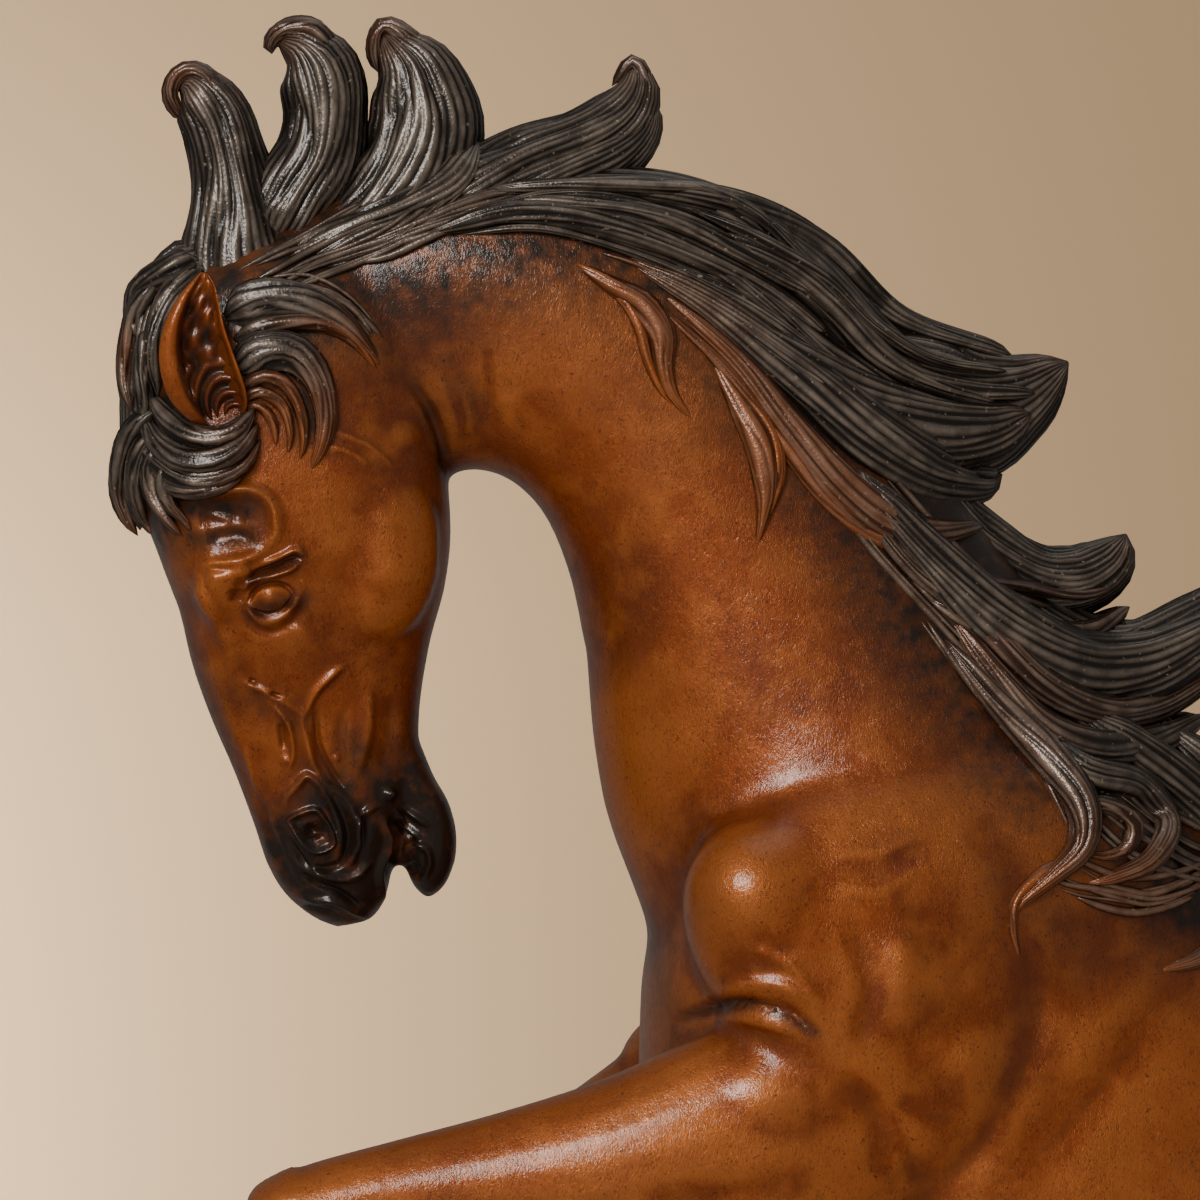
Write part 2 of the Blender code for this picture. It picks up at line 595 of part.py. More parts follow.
def build_body():
    """The barrel, neck base, shoulders and haunches, well rounded into each other."""
    mesh = bmesh.new()
    add_trunk(mesh)
    add_form(mesh, NECK, sides=28)
    for side in (-1, 1):
        add_form(mesh, on_side(squared_rows(SCAPULA), side))
        add_form(mesh, stepped(THIGH, side))
        add_swellings(mesh, MUSCLES, side)
    body = new_object("horse", mesh, BRONZE_BROWN, 0.35, 0.6)
    merge_forms(body, BODY_MERGE_SQUARES * SQUARE, BODY_SMOOTHING)
    return body


def build_horse():
    """The cast horse, all of one piece with its mane and tail."""
    horse = build_body()
    mesh = bmesh.new()
    mesh.from_mesh(horse.data)
    add_form(mesh, NECK[:THIN_NECK_ROW], sides=28)
    add_head(mesh)
    for side in (-1, 1):
        add_foreleg(mesh, side)
        add_hind_leg(mesh, side)
        for lock in SIDE_LOCKS:
            add_lock(mesh, lock, side)
    for lock in CREST_LOCKS + TAIL:
        add_lock(mesh, lock)
    mesh.to_mesh(horse.data)
    mesh.free()
    merge_forms(horse, MERGE_SQUARES * SQUARE, MERGE_SMOOTHING)
    thin_faces(horse)
    cut_soles(horse)
    horse.data.shade_smooth()
    horse.data.set_sharp_from_angle(angle=math.radians(50))
    return horse


def ground_outline(length, width, sides=48):
    """The ground's outline, an oval drawn out towards a rectangle."""
    outline = []
    for i in range(sides):
        along, across = rounded(2 * math.pi * i / sides, 2.6)
        outline.append((along * length / 2, across * width / 2))
    return outline


def build_ground():
    """The low bronze ground that the hooves and the tail stand on."""
    mesh = bmesh.new()
    rings = []
    for inset, height in (
        (0.0, 0.0),
        (0.0, GROUND_HEIGHT - 2 * GROUND_EDGE),
        (0.3 * GROUND_EDGE, GROUND_HEIGHT - GROUND_EDGE),
        (GROUND_EDGE, GROUND_HEIGHT - 0.3 * GROUND_EDGE),
        (2 * GROUND_EDGE, GROUND_HEIGHT),
    ):
        outline = ground_outline(GROUND_LENGTH - 2 * inset, GROUND_WIDTH - 2 * inset)
        rings.append([Vector((x, y, height)) for x, y in outline])
    loft(mesh, rings)
    ground = new_object("base", mesh, BRONZE_DARK, 0.45, 0.6)
    ground.data.shade_smooth()
    ground.data.set_sharp_from_angle(angle=math.radians(50))
    return ground


def main():
    for old in list(bpy.data.objects):
        bpy.data.objects.remove(old)
    build_horse()
    build_ground()


main()
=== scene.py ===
"""The looks of the rearing horse statuette: bronze skin, ears, mane, tail and base, in a plain studio.

An add-on for Blender 4.5. Each piece is made by its own operator, and the panel in the 3-D view's sidebar
lists them in order. The figure is drawn on a squared sheet seen from its left side: columns count to the
right, rows count down from the tip of the highest lock to the soles, and asides count from the middle plane,
all in squares. Details of the near side are drawn as the eye sees them, from a little ahead.
"""

import math
from contextlib import contextmanager

import bmesh
import bpy
import numpy as np
from bpy.props import FloatProperty, IntProperty, PointerProperty
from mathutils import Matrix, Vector, noise
from mathutils.bvhtree import BVHTree


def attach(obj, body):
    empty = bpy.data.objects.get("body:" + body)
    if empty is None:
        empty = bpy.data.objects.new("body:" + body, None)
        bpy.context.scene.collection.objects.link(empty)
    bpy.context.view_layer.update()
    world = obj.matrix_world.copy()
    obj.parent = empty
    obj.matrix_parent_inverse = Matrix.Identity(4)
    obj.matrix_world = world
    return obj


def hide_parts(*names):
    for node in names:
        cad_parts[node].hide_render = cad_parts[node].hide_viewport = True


bl_info = {
    "name": "Rearing horse statuette",
    "version": (1, 0, 0),
    "blender": (4, 5, 0),
    "location": "View3D > Sidebar > Horse",
    "description": "Builds a patinated bronze horse with its mane, tail and base over its CAD frame",
    "category": "Object",
}

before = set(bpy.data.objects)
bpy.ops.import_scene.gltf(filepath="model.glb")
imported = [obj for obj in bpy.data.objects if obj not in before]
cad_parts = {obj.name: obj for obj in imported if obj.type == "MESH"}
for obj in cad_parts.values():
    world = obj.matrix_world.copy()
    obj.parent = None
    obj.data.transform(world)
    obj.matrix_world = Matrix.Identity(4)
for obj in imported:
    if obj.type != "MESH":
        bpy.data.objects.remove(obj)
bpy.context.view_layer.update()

# The squared sheet, its size and where the eye is when the near side is drawn
HORSE_HEIGHT = 0.420
BASE_HEIGHT = 0.020
SEAT_GAP = 0.0003
TOP_ROW = 18
SOLE_ROW = 3080
MIDDLE_COLUMN = 1545
SQUARE = HORSE_HEIGHT / (SOLE_ROW - TOP_ROW)
VIEW_TURN = math.radians(6)
VIEW_DISTANCE = 0.62
VIEW_MIDDLE = (600, 600)
VIEW_SQUARES = VIEW_DISTANCE / SQUARE
TURN_C, TURN_S = math.cos(VIEW_TURN), math.sin(VIEW_TURN)
PICTURE_SQUARES = 1200
SENSOR_WIDTH = 36

# The trunk is drawn standing and reared up about the point of the shoulder
REAR_ANGLE = math.radians(55)
SHOULDER = (725, 900)

# A form's rows: front column and row, back column and row, aside, half width, widest share, squareness
NECK = [
    (205, 285, 425, 480, 0, 70, 0.50, 2.2),
    (262, 235, 448, 476, 0, 80, 0.50, 2.2),
    (345, 196, 474, 470, 0, 86, 0.48, 2.2),
    (450, 172, 510, 480, 0, 94, 0.46, 2.2),
    (565, 168, 545, 515, 0, 102, 0.45, 2.1),
    (680, 200, 570, 575, 0, 110, 0.44, 2.0),
    (790, 275, 585, 645, 0, 120, 0.43, 2.0),
    (885, 380, 591, 725, 0, 134, 0.42, 2.0),
    (975, 500, 606, 815, 0, 156, 0.42, 2.0),
    (1070, 625, 640, 905, 0, 182, 0.42, 2.0),
    (1165, 740, 672, 1000, 0, 204, 0.42, 2.0),
    (1250, 830, 690, 1100, 0, 214, 0.45, 2.0),
    (1310, 930, 720, 1200, 0, 210, 0.45, 2.0),
]
HEAD = [
    (205, 262, 330, 240, 0, 52, 0.50, 2.2),
    (170, 300, 400, 268, 0, 82, 0.50, 2.3),
    (150, 360, 440, 326, 0, 98, 0.52, 2.4),
    (140, 430, 446, 400, 0, 104, 0.56, 2.5),
    (142, 500, 447, 470, 0, 112, 0.62, 2.6),
    (162, 560, 450, 535, 0, 114, 0.66, 2.6),
    (180, 610, 444, 588, 0, 104, 0.66, 2.5),
    (193, 662, 430, 640, 0, 88, 0.64, 2.5),
    (212, 716, 420, 700, 0, 74, 0.60, 2.5),
    (236, 772, 417, 752, 0, 65, 0.56, 2.5),
    (256, 826, 408, 802, 0, 64, 0.54, 2.4),
    (268, 862, 396, 838, 0, 62, 0.54, 2.3),
    (286, 892, 391, 872, 0, 54, 0.54, 2.2),
    (312, 914, 384, 900, 0, 42, 0.52, 2.1),
    (336, 925, 372, 917, 0, 24, 0.50, 2.0),
]
CHIN = [
    (360, 740, 420, 742, 0, 44, 0.50, 2.2),
    (385, 780, 434, 776, 0, 42, 0.50, 2.2),
    (398, 812, 448, 800, 0, 40, 0.50, 2.2),
    (404, 842, 456, 830, 0, 38, 0.50, 2.2),
    (406, 868, 455, 858, 0, 35, 0.50, 2.2),
    (414, 886, 446, 882, 0, 26, 0.50, 2.0),
    (424, 896, 434, 895, 0, 10, 0.50, 2.0),
]
# Trunk rows, drawn standing: along from the shoulder, low, high, half width, widest share, squareness
TRUNK = [
    (-26, -60, 60, 110, 0.50, 2.2),
    (10, -104, 190, 176, 0.48, 2.2),
    (70, -152, 310, 206, 0.46, 2.1),
    (160, -216, 400, 220, 0.45, 2.0),
    (270, -264, 462, 234, 0.43, 1.9),
    (400, -286, 484, 252, 0.40, 1.9),
    (560, -288, 458, 272, 0.40, 2.0),
    (740, -282, 430, 286, 0.42, 2.0),
    (920, -250, 432, 282, 0.44, 2.0),
    (1080, -200, 460, 266, 0.48, 2.0),
    (1230, -120, 490, 262, 0.50, 2.1),
    (1370, -20, 480, 248, 0.50, 2.1),
    (1490, 80, 430, 205, 0.50, 2.1),
    (1580, 150, 370, 130, 0.50, 2.0),
]
SCAPULA = [
    (1090, 745, 1200, 900, 128, 50, 0.5, 2.0),
    (970, 748, 1130, 960, 146, 62, 0.5, 2.0),
    (850, 772, 1065, 1020, 162, 72, 0.5, 2.0),
    (752, 818, 1030, 1085, 174, 80, 0.5, 2.1),
    (694, 884, 1004, 1135, 180, 84, 0.5, 2.1),
    (690, 955, 980, 1180, 182, 80, 0.5, 2.1),
    (735, 1030, 950, 1215, 182, 66, 0.5, 2.0),
]
FOREARM = [
    (800, 1000, 930, 1222, 184, 72, 0.5, 2.0),
    (700, 1036, 850, 1288, 188, 82, 0.5, 2.1),
    (600, 1080, 700, 1306, 188, 80, 0.5, 2.1),
    (500, 1112, 560, 1290, 186, 68, 0.5, 2.0),
    (400, 1139, 440, 1268, 184, 57, 0.5, 2.0),
    (322, 1160, 350, 1262, 184, 52, 0.5, 2.0),
    (264, 1180, 318, 1272, 184, 55, 0.5, 2.2),
]
CANNON = [
    (290, 1166, 352, 1266, 184, 50, 0.5, 2.1),
    (250, 1192, 352, 1290, 184, 56, 0.5, 2.2),
    (247, 1238, 350, 1308, 184, 54, 0.5, 2.2),
    (268, 1290, 352, 1326, 184, 44, 0.5, 2.1),
    (302, 1372, 378, 1372, 184, 35, 0.5, 2.0),
    (340, 1456, 414, 1440, 184, 33, 0.5, 2.0),
    (368, 1520, 462, 1494, 184, 40, 0.5, 2.1),
    (404, 1568, 486, 1520, 184, 38, 0.5, 2.1),
    (450, 1606, 512, 1540, 184, 33, 0.5, 2.0),
]
FORE_HOOF = [
    (448, 1606, 508, 1534, 184, 34, 0.5, 2.0),
    (472, 1646, 546, 1556, 184, 44, 0.5, 2.1),
    (492, 1652, 560, 1556, 184, 46, 0.5, 2.1),
    (558, 1706, 612, 1588, 184, 56, 0.5, 2.1),
    (572, 1716, 618, 1592, 184, 54, 0.5, 2.1),
]
THIGH = [
    (1540, 1500, 1870, 1680, 100, 60, 0.5, 2.0),
    (1420, 1640, 1912, 1850, 122, 108, 0.5, 2.0),
    (1318, 1800, 1908, 1990, 136, 118, 0.52, 2.0),
    (1252, 1950, 1870, 2110, 146, 120, 0.52, 2.0),
    (1238, 2080, 1800, 2220, 152, 110, 0.52, 2.0),
    (1262, 2196, 1744, 2302, 156, 94, 0.52, 2.0),
    (1326, 2306, 1692, 2368, 158, 76, 0.52, 2.1),
    (1412, 2396, 1662, 2420, 158, 60, 0.52, 2.1),
    (1478, 2466, 1650, 2462, 158, 48, 0.5, 2.0),
]
HIND_CANNON = [
    (1448, 2424, 1640, 2440, 158, 50, 0.5, 2.0),
    (1506, 2508, 1688, 2480, 158, 46, 0.5, 2.1),
    (1518, 2560, 1690, 2526, 158, 46, 0.5, 2.1),
    (1508, 2622, 1636, 2612, 158, 42, 0.5, 2.1),
    (1478, 2706, 1580, 2718, 158, 35, 0.5, 2.0),
    (1444, 2790, 1530, 2812, 158, 34, 0.5, 2.0),
    (1404, 2862, 1512, 2886, 158, 42, 0.5, 2.1),
    (1368, 2914, 1486, 2942, 158, 40, 0.5, 2.1),
    (1336, 2956, 1440, 2986, 158, 37, 0.5, 2.1),
]
HIND_HOOF = [
    (1340, 2948, 1440, 2976, 158, 38, 0.5, 2.1),
    (1318, 2974, 1448, 2998, 158, 50, 0.5, 2.1),
    (1306, 2984, 1450, 3008, 158, 52, 0.5, 2.1),
    (1262, 3076, 1452, 3078, 158, 62, 0.5, 2.1),
    (1256, 3110, 1452, 3110, 158, 64, 0.5, 2.1),
]
# Where the thigh gets, and the neck stops being, thin enough to need the finer cells
THIN_THIGH_ROW = 3
THIN_NECK_ROW = 7
# Swellings: column, row, aside, half length, half height, half width
MUSCLES = [
    (1330, 1900, 112, 110, 70, 78),
    (757, 905, 176, 76, 84, 84),
    (880, 985, 190, 110, 90, 76),
    (950, 1080, 170, 100, 120, 84),
    (770, 1110, 188, 110, 80, 82),
    (1590, 2010, 170, 190, 170, 104),
    (1740, 1880, 140, 130, 150, 116),
]
FACE_SWELLINGS = [
    (372, 548, 62, 68, 98, 46),
    (222, 588, 86, 30, 32, 23),
    (276, 597, 88, 24, 17, 20),
    (316, 834, 46, 30, 30, 22),
    (345, 700, 40, 40, 110, 32),
]
# How the far legs differ: the foreleg is swung and folded further, the hind leg stands further back
FAR_FORE_SWING = math.radians(12)
FAR_FORE_FOLD = math.radians(16)
FORE_ELBOW = (870, 1110)
FORE_KNEE = (275, 1200)
FAR_HIND_STEP = 135
HIND_HIP_ROW = 1900
# Where the skin is modelled more finely: first and last column, first and last row
FINE_WINDOWS = ((90, 500, 200, 960), (180, 460, 480, 940))
FINE_ROUNDING = 5
# How far below its neighbours a place is wholly hollow
HOLLOW_DEPTH = 0.00012
# A stroke's reach in radii, how sharply its height and its fold fade aside, and the share its ends fade over
STROKE_REACH = 2.6
STROKE_SHARPNESS = 1.4
FOLD_SHARPNESS = 0.8
STROKE_END = 0.22
# Shares of a lock's length: where its tip starts to close, how long the tip is, how long the root. Then the
# share of its breadth that it starts with.
TIP_START = 0.93
TIP_LENGTH = 0.07
ROOT_LENGTH = 0.1
ROOT_BREADTH = 0.25
# The fewest and most rings and strands of a lock, and how many strands run in a bundle
LOCK_RINGS = (14, 90)
LOCK_STRANDS = (5, 36)
BUNDLED = 6
# How far out in metres a feeler for the surface starts, the aside it is first aimed for, and how many squares
# a lock sinks with each row beyond the surface's edge
FEELER_START = 0.2
FIRST_ASIDE = 90.0
SINKING = 9
# How finely locks of the mane and of the tail are stranded, and the seeds that their strands start from
MANE_FINENESS = 1.1
TAIL_FINENESS = 0.7
SWEPT_SEED = 3
SIDE_SEED = 20
TAIL_SEED = 60
# How much of the dark patina is rubbed brown along the raised strands and earth, while their grooves and the
# edges of locks stay dark as painted shade
MANE_RUBBING = 0.7
BASE_RUBBING = 0.35
# The base: its outline's squareness, its lumps' size, and where its earth stays flat: column, aside, reach
BASE_SQUARENESS = 2.6
BASE_AROUND = 240
EARTH_LUMP = 0.014
FLAT_PLACES = ((1354, -158, 130), (1489, 158, 130), (2005, 0, 110))
# The paper rises in a narrow strip, so that the horse is also seen from behind at a slant
STRIP_SIDES = (-0.5, 0.42)
STRIP_BACK = 0.7
STRIP_BEND = 0.35
STRIP_TOP = 0.95
FLOOR_SIDE = 2.2
FLOOR_FRONT = 1.6
# Lamps: name, place, aim or None for the horse's neck, size, power, and whether the bronze mirrors it
LAMPS = (
    ("key", (-0.52, -0.72, 0.88), None, 0.32, 6.0, True),
    ("fill", (-0.40, -0.80, 0.40), None, 0.7, 10.0, False),
    ("top", (0.05, 0.1, 1.15), None, 0.6, 0.8, True),
    ("wall", (-0.50, 0.45, 0.24), (-0.33, 0.70, 0.21), 0.12, 6.8, False),
)
LAMP_COLOUR = (1.0, 0.97, 0.92)
ROOM_COLOUR = (1.0, 0.94, 0.87, 1.0)
ROOM_STRENGTH = 0.16

# The ear from tip to root: left column and row, right column and row, aside of the rim, depth of the hollow
EAR = [
    (201, 272, 206, 273, 128, 1),
    (188, 285, 214, 284, 132, 6),
    (175, 302, 219, 303, 135, 13),
    (164, 326, 224, 326, 137, 20),
    (159, 350, 232, 350, 136, 26),
    (161, 374, 240, 372, 134, 28),
    (168, 396, 246, 391, 128, 26),
    (181, 413, 247, 406, 119, 20),
    (197, 426, 241, 418, 106, 12),
    (211, 433, 230, 427, 92, 5),
]

# Modelling strokes of the near side: radius, height and path, and for a fold how far one side stands proud of
# the other. A raised line's height is positive, a groove's negative.
FACE_STROKES = [
    (8, 8, [(186, 497), (219, 493), (245, 490), (262, 495), (272, 506), (276, 523), (274, 538), (265, 550)]),
    (19, -10, [(196, 516), (225, 514), (248, 520)]),
    (14, -7, [(204, 540), (232, 536), (256, 534)]),
    (5, 1.8, [(190, 508), (226, 518), (262, 528)], 1),
    (5, 1.8, [(196, 530), (236, 526), (262, 538)], 1),
    (6, 5, [(265, 550), (250, 557), (229, 561), (209, 564), (198, 573)]),
    (12, 8, [(204, 580), (228, 575), (252, 567)]),
    (12, 4, [(208, 588), (226, 590), (240, 584)]),
    (16, -5, [(182, 590), (196, 630), (214, 668)]),
    (10, 4, [(199, 584), (209, 606), (226, 632), (236, 646)], 3),
    (8, -5, [(237, 588), (236, 604)]),
    (3.2, -8, [(246, 583), (258, 572), (274, 566), (290, 558), (299, 558)]),
    (3.6, 6, [(262, 564), (280, 557), (296, 550), (306, 558)]),
    (3.4, 7, [(241, 592), (251, 580), (270, 576), (290, 569), (302, 561)]),
    (10, 5, [(270, 597)]),
    (2.6, -6, [(246, 606), (256, 590), (271, 584), (286, 586), (294, 594)]),
    (2.4, -4, [(246, 606), (256, 612), (270, 614), (285, 608), (294, 595)]),
    (4, 3, [(247, 598), (252, 614), (266, 622), (284, 616), (296, 602), (302, 584)]),
    (5, -3, [(242, 590), (244, 612), (256, 628), (276, 632), (298, 618), (308, 594)]),
    (12, -3, [(300, 606), (294, 630)]),
    (9, 3, [(193, 624), (214, 670), (238, 736), (262, 786)]),
    (12, -3, [(236, 650), (252, 690), (268, 730)]),
    (5, 3, [(245, 740), (257, 784), (270, 816), (274, 846)]),
    (4.4, 3.6, [(240, 681), (262, 690), (280, 699), (300, 713)], 0.8),
    (4.6, 4.4, [(346, 664), (330, 677), (316, 692), (308, 708), (302, 722)], 1.2),
    (4.6, 4.5, [(300, 710), (307, 738), (315, 766), (330, 786), (354, 804)], 2),
    (4, -5, [(316, 708), (318, 742), (330, 768), (346, 790)]),
    (3.4, 5, [(270, 703), (288, 724), (293, 752), (288, 772)], -1.5),
    (4, -4, [(280, 722), (284, 750)]),
    (2.6, -6, [(248, 681), (256, 684)]),
    (2.6, -6, [(270, 693), (281, 697)]),
    (8, 4, [(366, 680), (368, 712), (365, 742), (354, 780)]),
    (7, -3, [(344, 706), (340, 748), (350, 786)]),
    (9, -3, [(390, 690), (389, 742), (379, 780)]),
    (5, 3, [(286, 760)]),
    (4, 3, [(337, 758)]),
    (5, 7, [(283, 811), (288, 797), (299, 784), (307, 776), (315, 781), (325, 794), (335, 815),
     (340, 838), (335, 857)]),
    (3.2, 7, [(290, 820), (298, 815), (315, 810), (323, 818), (331, 833), (332, 845), (317, 851),
     (304, 843), (290, 820)]),
    (7, -9, [(306, 823), (314, 838)]),
    (7, -8, [(312, 822), (322, 838)]),
    (4, -6, [(334, 800), (345, 820), (349, 842), (340, 864), (314, 868), (298, 856), (284, 830)]),
    (5, 6, [(346, 798), (356, 822), (356, 846), (348, 866)]),
    (4, -5, [(362, 806), (364, 836), (358, 864)]),
    (5, -4, [(256, 784), (271, 832), (281, 862), (299, 888)]),
    (3.6, -7, [(298, 872), (318, 885), (338, 892), (362, 908)]),
    (4, 6, [(304, 862), (326, 876), (350, 878), (372, 862)]),
    (3.6, 6, [(300, 896), (316, 900), (334, 900), (352, 910), (370, 918)]),
    (3, -4, [(300, 906), (318, 910), (338, 914)]),
    (6, 9, [(389, 794)]),
    (4, 6, [(378, 806), (362, 815), (355, 834), (361, 854)]),
    (4, 7, [(384, 818), (388, 842), (379, 874), (384, 904)]),
    (4, -7, [(392, 818), (393, 836), (390, 856)]),
    (3.4, 6, [(392, 809), (405, 822), (423, 841)]),
    (3.4, 5, [(398, 804), (416, 816), (430, 828)]),
    (3.4, -6, [(396, 820), (408, 834), (418, 846)]),
    (5, -9, [(410, 862), (415, 876)]),
    (3.6, 7, [(402, 856), (413, 844), (426, 848), (430, 862), (424, 880)]),
    (14, 4, [(406, 434)]),
    (6, -6, [(402, 374), (424, 402), (440, 438), (447, 478)], 2),
    (4, 3, [(332, 430), (352, 438), (372, 448), (396, 470)], 1),
    (4, 2.5, [(326, 446), (350, 452), (370, 466)], 1),
    (28, 4, [(368, 616)]),
    (24, 3, [(396, 572)]),
]
BODY_STROKES = [
    (6, -2, [(487, 350), (491, 384), (487, 424)]),
    (6, 2, [(440, 378), (452, 408), (458, 430)], 1),
    (6, 2, [(461, 384), (469, 408), (471, 438)], 1),
    (9, 2, [(507, 392), (512, 430)]),
    (20, -2, [(898, 566), (936, 626), (968, 664), (1006, 694)], 2),
    (46, 4, [(676, 880), (706, 836), (756, 792), (840, 758), (950, 735)]),
    (62, 5, [(732, 892)]),
    (14, -1.6, [(832, 866), (876, 872), (926, 846)]),
    (5, 1.5, [(828, 856), (880, 852), (926, 834)]),
    (5, 1.5, [(836, 884), (880, 892), (930, 862)]),
    (22, -2.5, [(968, 826), (1002, 860), (1018, 912)], 2),
    (4, 5, [(747, 944), (786, 962), (806, 982), (824, 1008)], 1.5),
    (4, 2.5, [(786, 962), (816, 952)]),
    (4, -11, [(680, 1016), (716, 1006), (752, 1004), (790, 1012), (816, 1034)]),
    (8, 6, [(716, 992), (752, 985), (786, 988), (812, 1006)]),
    (6, 6, [(682, 1030), (716, 1021), (752, 1020), (798, 1034)]),
    (14, -4, [(848, 932), (868, 980), (859, 1047)], 1.5),
    (18, 3, [(896, 926), (908, 990), (896, 1040)]),
    (34, 7, [(968, 1058)]),
    (28, 6, [(915, 1146)]),
    (14, -3, [(838, 1072), (872, 1112), (886, 1178)]),
    (10, -2, [(898, 1100), (936, 1118), (966, 1112)]),
    (18, -4, [(1008, 906), (1032, 961), (1038, 1018), (1022, 1076), (984, 1143), (944, 1196)], -3),
    (24, 3, [(1176, 948), (1104, 1020), (1066, 1090)]),
    (22, -2.5, [(1160, 1020), (1090, 1100), (1030, 1180)]),
    (20, -3, [(830, 1176), (740, 1196), (640, 1196)]),
]
LOWER_STROKES = [
    (26, -3, [(1350, 1180), (1230, 1330), (1150, 1480)], 1.5),
    (26, -3, [(1420, 1280), (1310, 1420), (1230, 1560)], 1.5),
    (26, -2.5, [(1480, 1380), (1390, 1510), (1310, 1640)], 1.5),
    (38, -6, [(1700, 1700), (1660, 1900), (1560, 2090), (1520, 2260)], 3),
    (32, -6, [(1840, 1860), (1800, 2010), (1700, 2180), (1640, 2330)], 3),
    (30, -4, [(1430, 1880), (1380, 2000), (1360, 2120)]),
    (30, 8, [(1330, 2170)]),
    (40, 8, [(1640, 1720)]),
    (14, -8, [(1530, 2320), (1580, 2420), (1620, 2480)], 3),
    (9, -7, [(1590, 2620), (1540, 2720), (1500, 2800)]),
    (8, 5, [(1560, 2600), (1512, 2712), (1474, 2800)]),
    (12, 6, [(1640, 2500)]),
    (8, -6, [(330, 1330), (360, 1400), (394, 1470)]),
    (9, -5, [(286, 1200), (300, 1240), (320, 1280)]),
    (9, 5, [(262, 1206), (262, 1240)]),
    (5, -6, [(448, 1610), (480, 1600), (512, 1546)]),
    (5, -6, [(1330, 2966), (1390, 2984), (1448, 2990)]),
]
# Where the skin is painted dark: dark patina on the muzzle, the hooves and along the mane, and painted shade
# in creases such as the temple's hollow, the groove behind the jaw, the fold under the shoulder and the
# eyelids. Radius, strength, path
DARK_STROKES = [
    (66, 1.3, [(296, 850), (330, 890), (366, 900)]),
    (50, 1.3, [(330, 806), (366, 850), (386, 880)]),
    (60, 1.3, [(432, 880), (432, 830), (400, 800)]),
    (40, 1.1, [(424, 760), (404, 800)]),
    (22, 0.8, [(352, 744), (372, 776)]),
    (18, 0.8, [(148, 540), (172, 620), (202, 700), (238, 800)]),
    # Painted shade in the temple's hollow under the forelock
    (24, 1.0, [(190, 508), (246, 512)]),
    (18, 0.9, [(194, 540), (250, 536)]),
    (44, 1.1, [(170, 400), (180, 470), (150, 530)]),
    (30, 0.9, [(236, 430), (200, 478)]),
    (60, 1.3, [(236, 300), (330, 310)]),
    (34, 1.0, [(280, 360), (310, 420)]),
    (68, 1.3, [(300, 262), (400, 222), (500, 190), (640, 200), (760, 280), (870, 400), (960, 540),
     (1070, 690)]),
    (108, 1.0, [(330, 290), (420, 272), (520, 242), (640, 250), (740, 330), (850, 480),
     (930, 620), (1040, 750)]),
    (90, 1.1, [(1070, 700), (1130, 800), (1190, 900)]),
    (30, 0.5, [(370, 320), (430, 350), (470, 400)]),
    # Painted shade in the groove behind the jaw
    (16, 0.6, [(404, 372), (430, 410), (448, 470)]),
    # Painted shade in the fold under the shoulder
    (8, 0.9, [(684, 1015), (753, 1004), (814, 1032)]),
    (60, 0.45, [(1010, 880), (1090, 940), (1180, 960)]),
    (20, 0.4, [(650, 940), (672, 1030)]),
    (24, 0.4, [(230, 690), (300, 720)]),
    # Painted shade in the creases of the eyelids
    (10, 0.7, [(252, 612), (306, 600)]),
    (8, 0.9, [(250, 582), (300, 558)]),
    (50, 0.6, [(1870, 1900), (1820, 2080)]),
    (70, 0.85, [(1390, 3010), (1380, 3070)]),
    (34, 0.6, [(1400, 2900), (1480, 2900)]),
    (60, 0.85, [(540, 1620), (580, 1650)]),
]

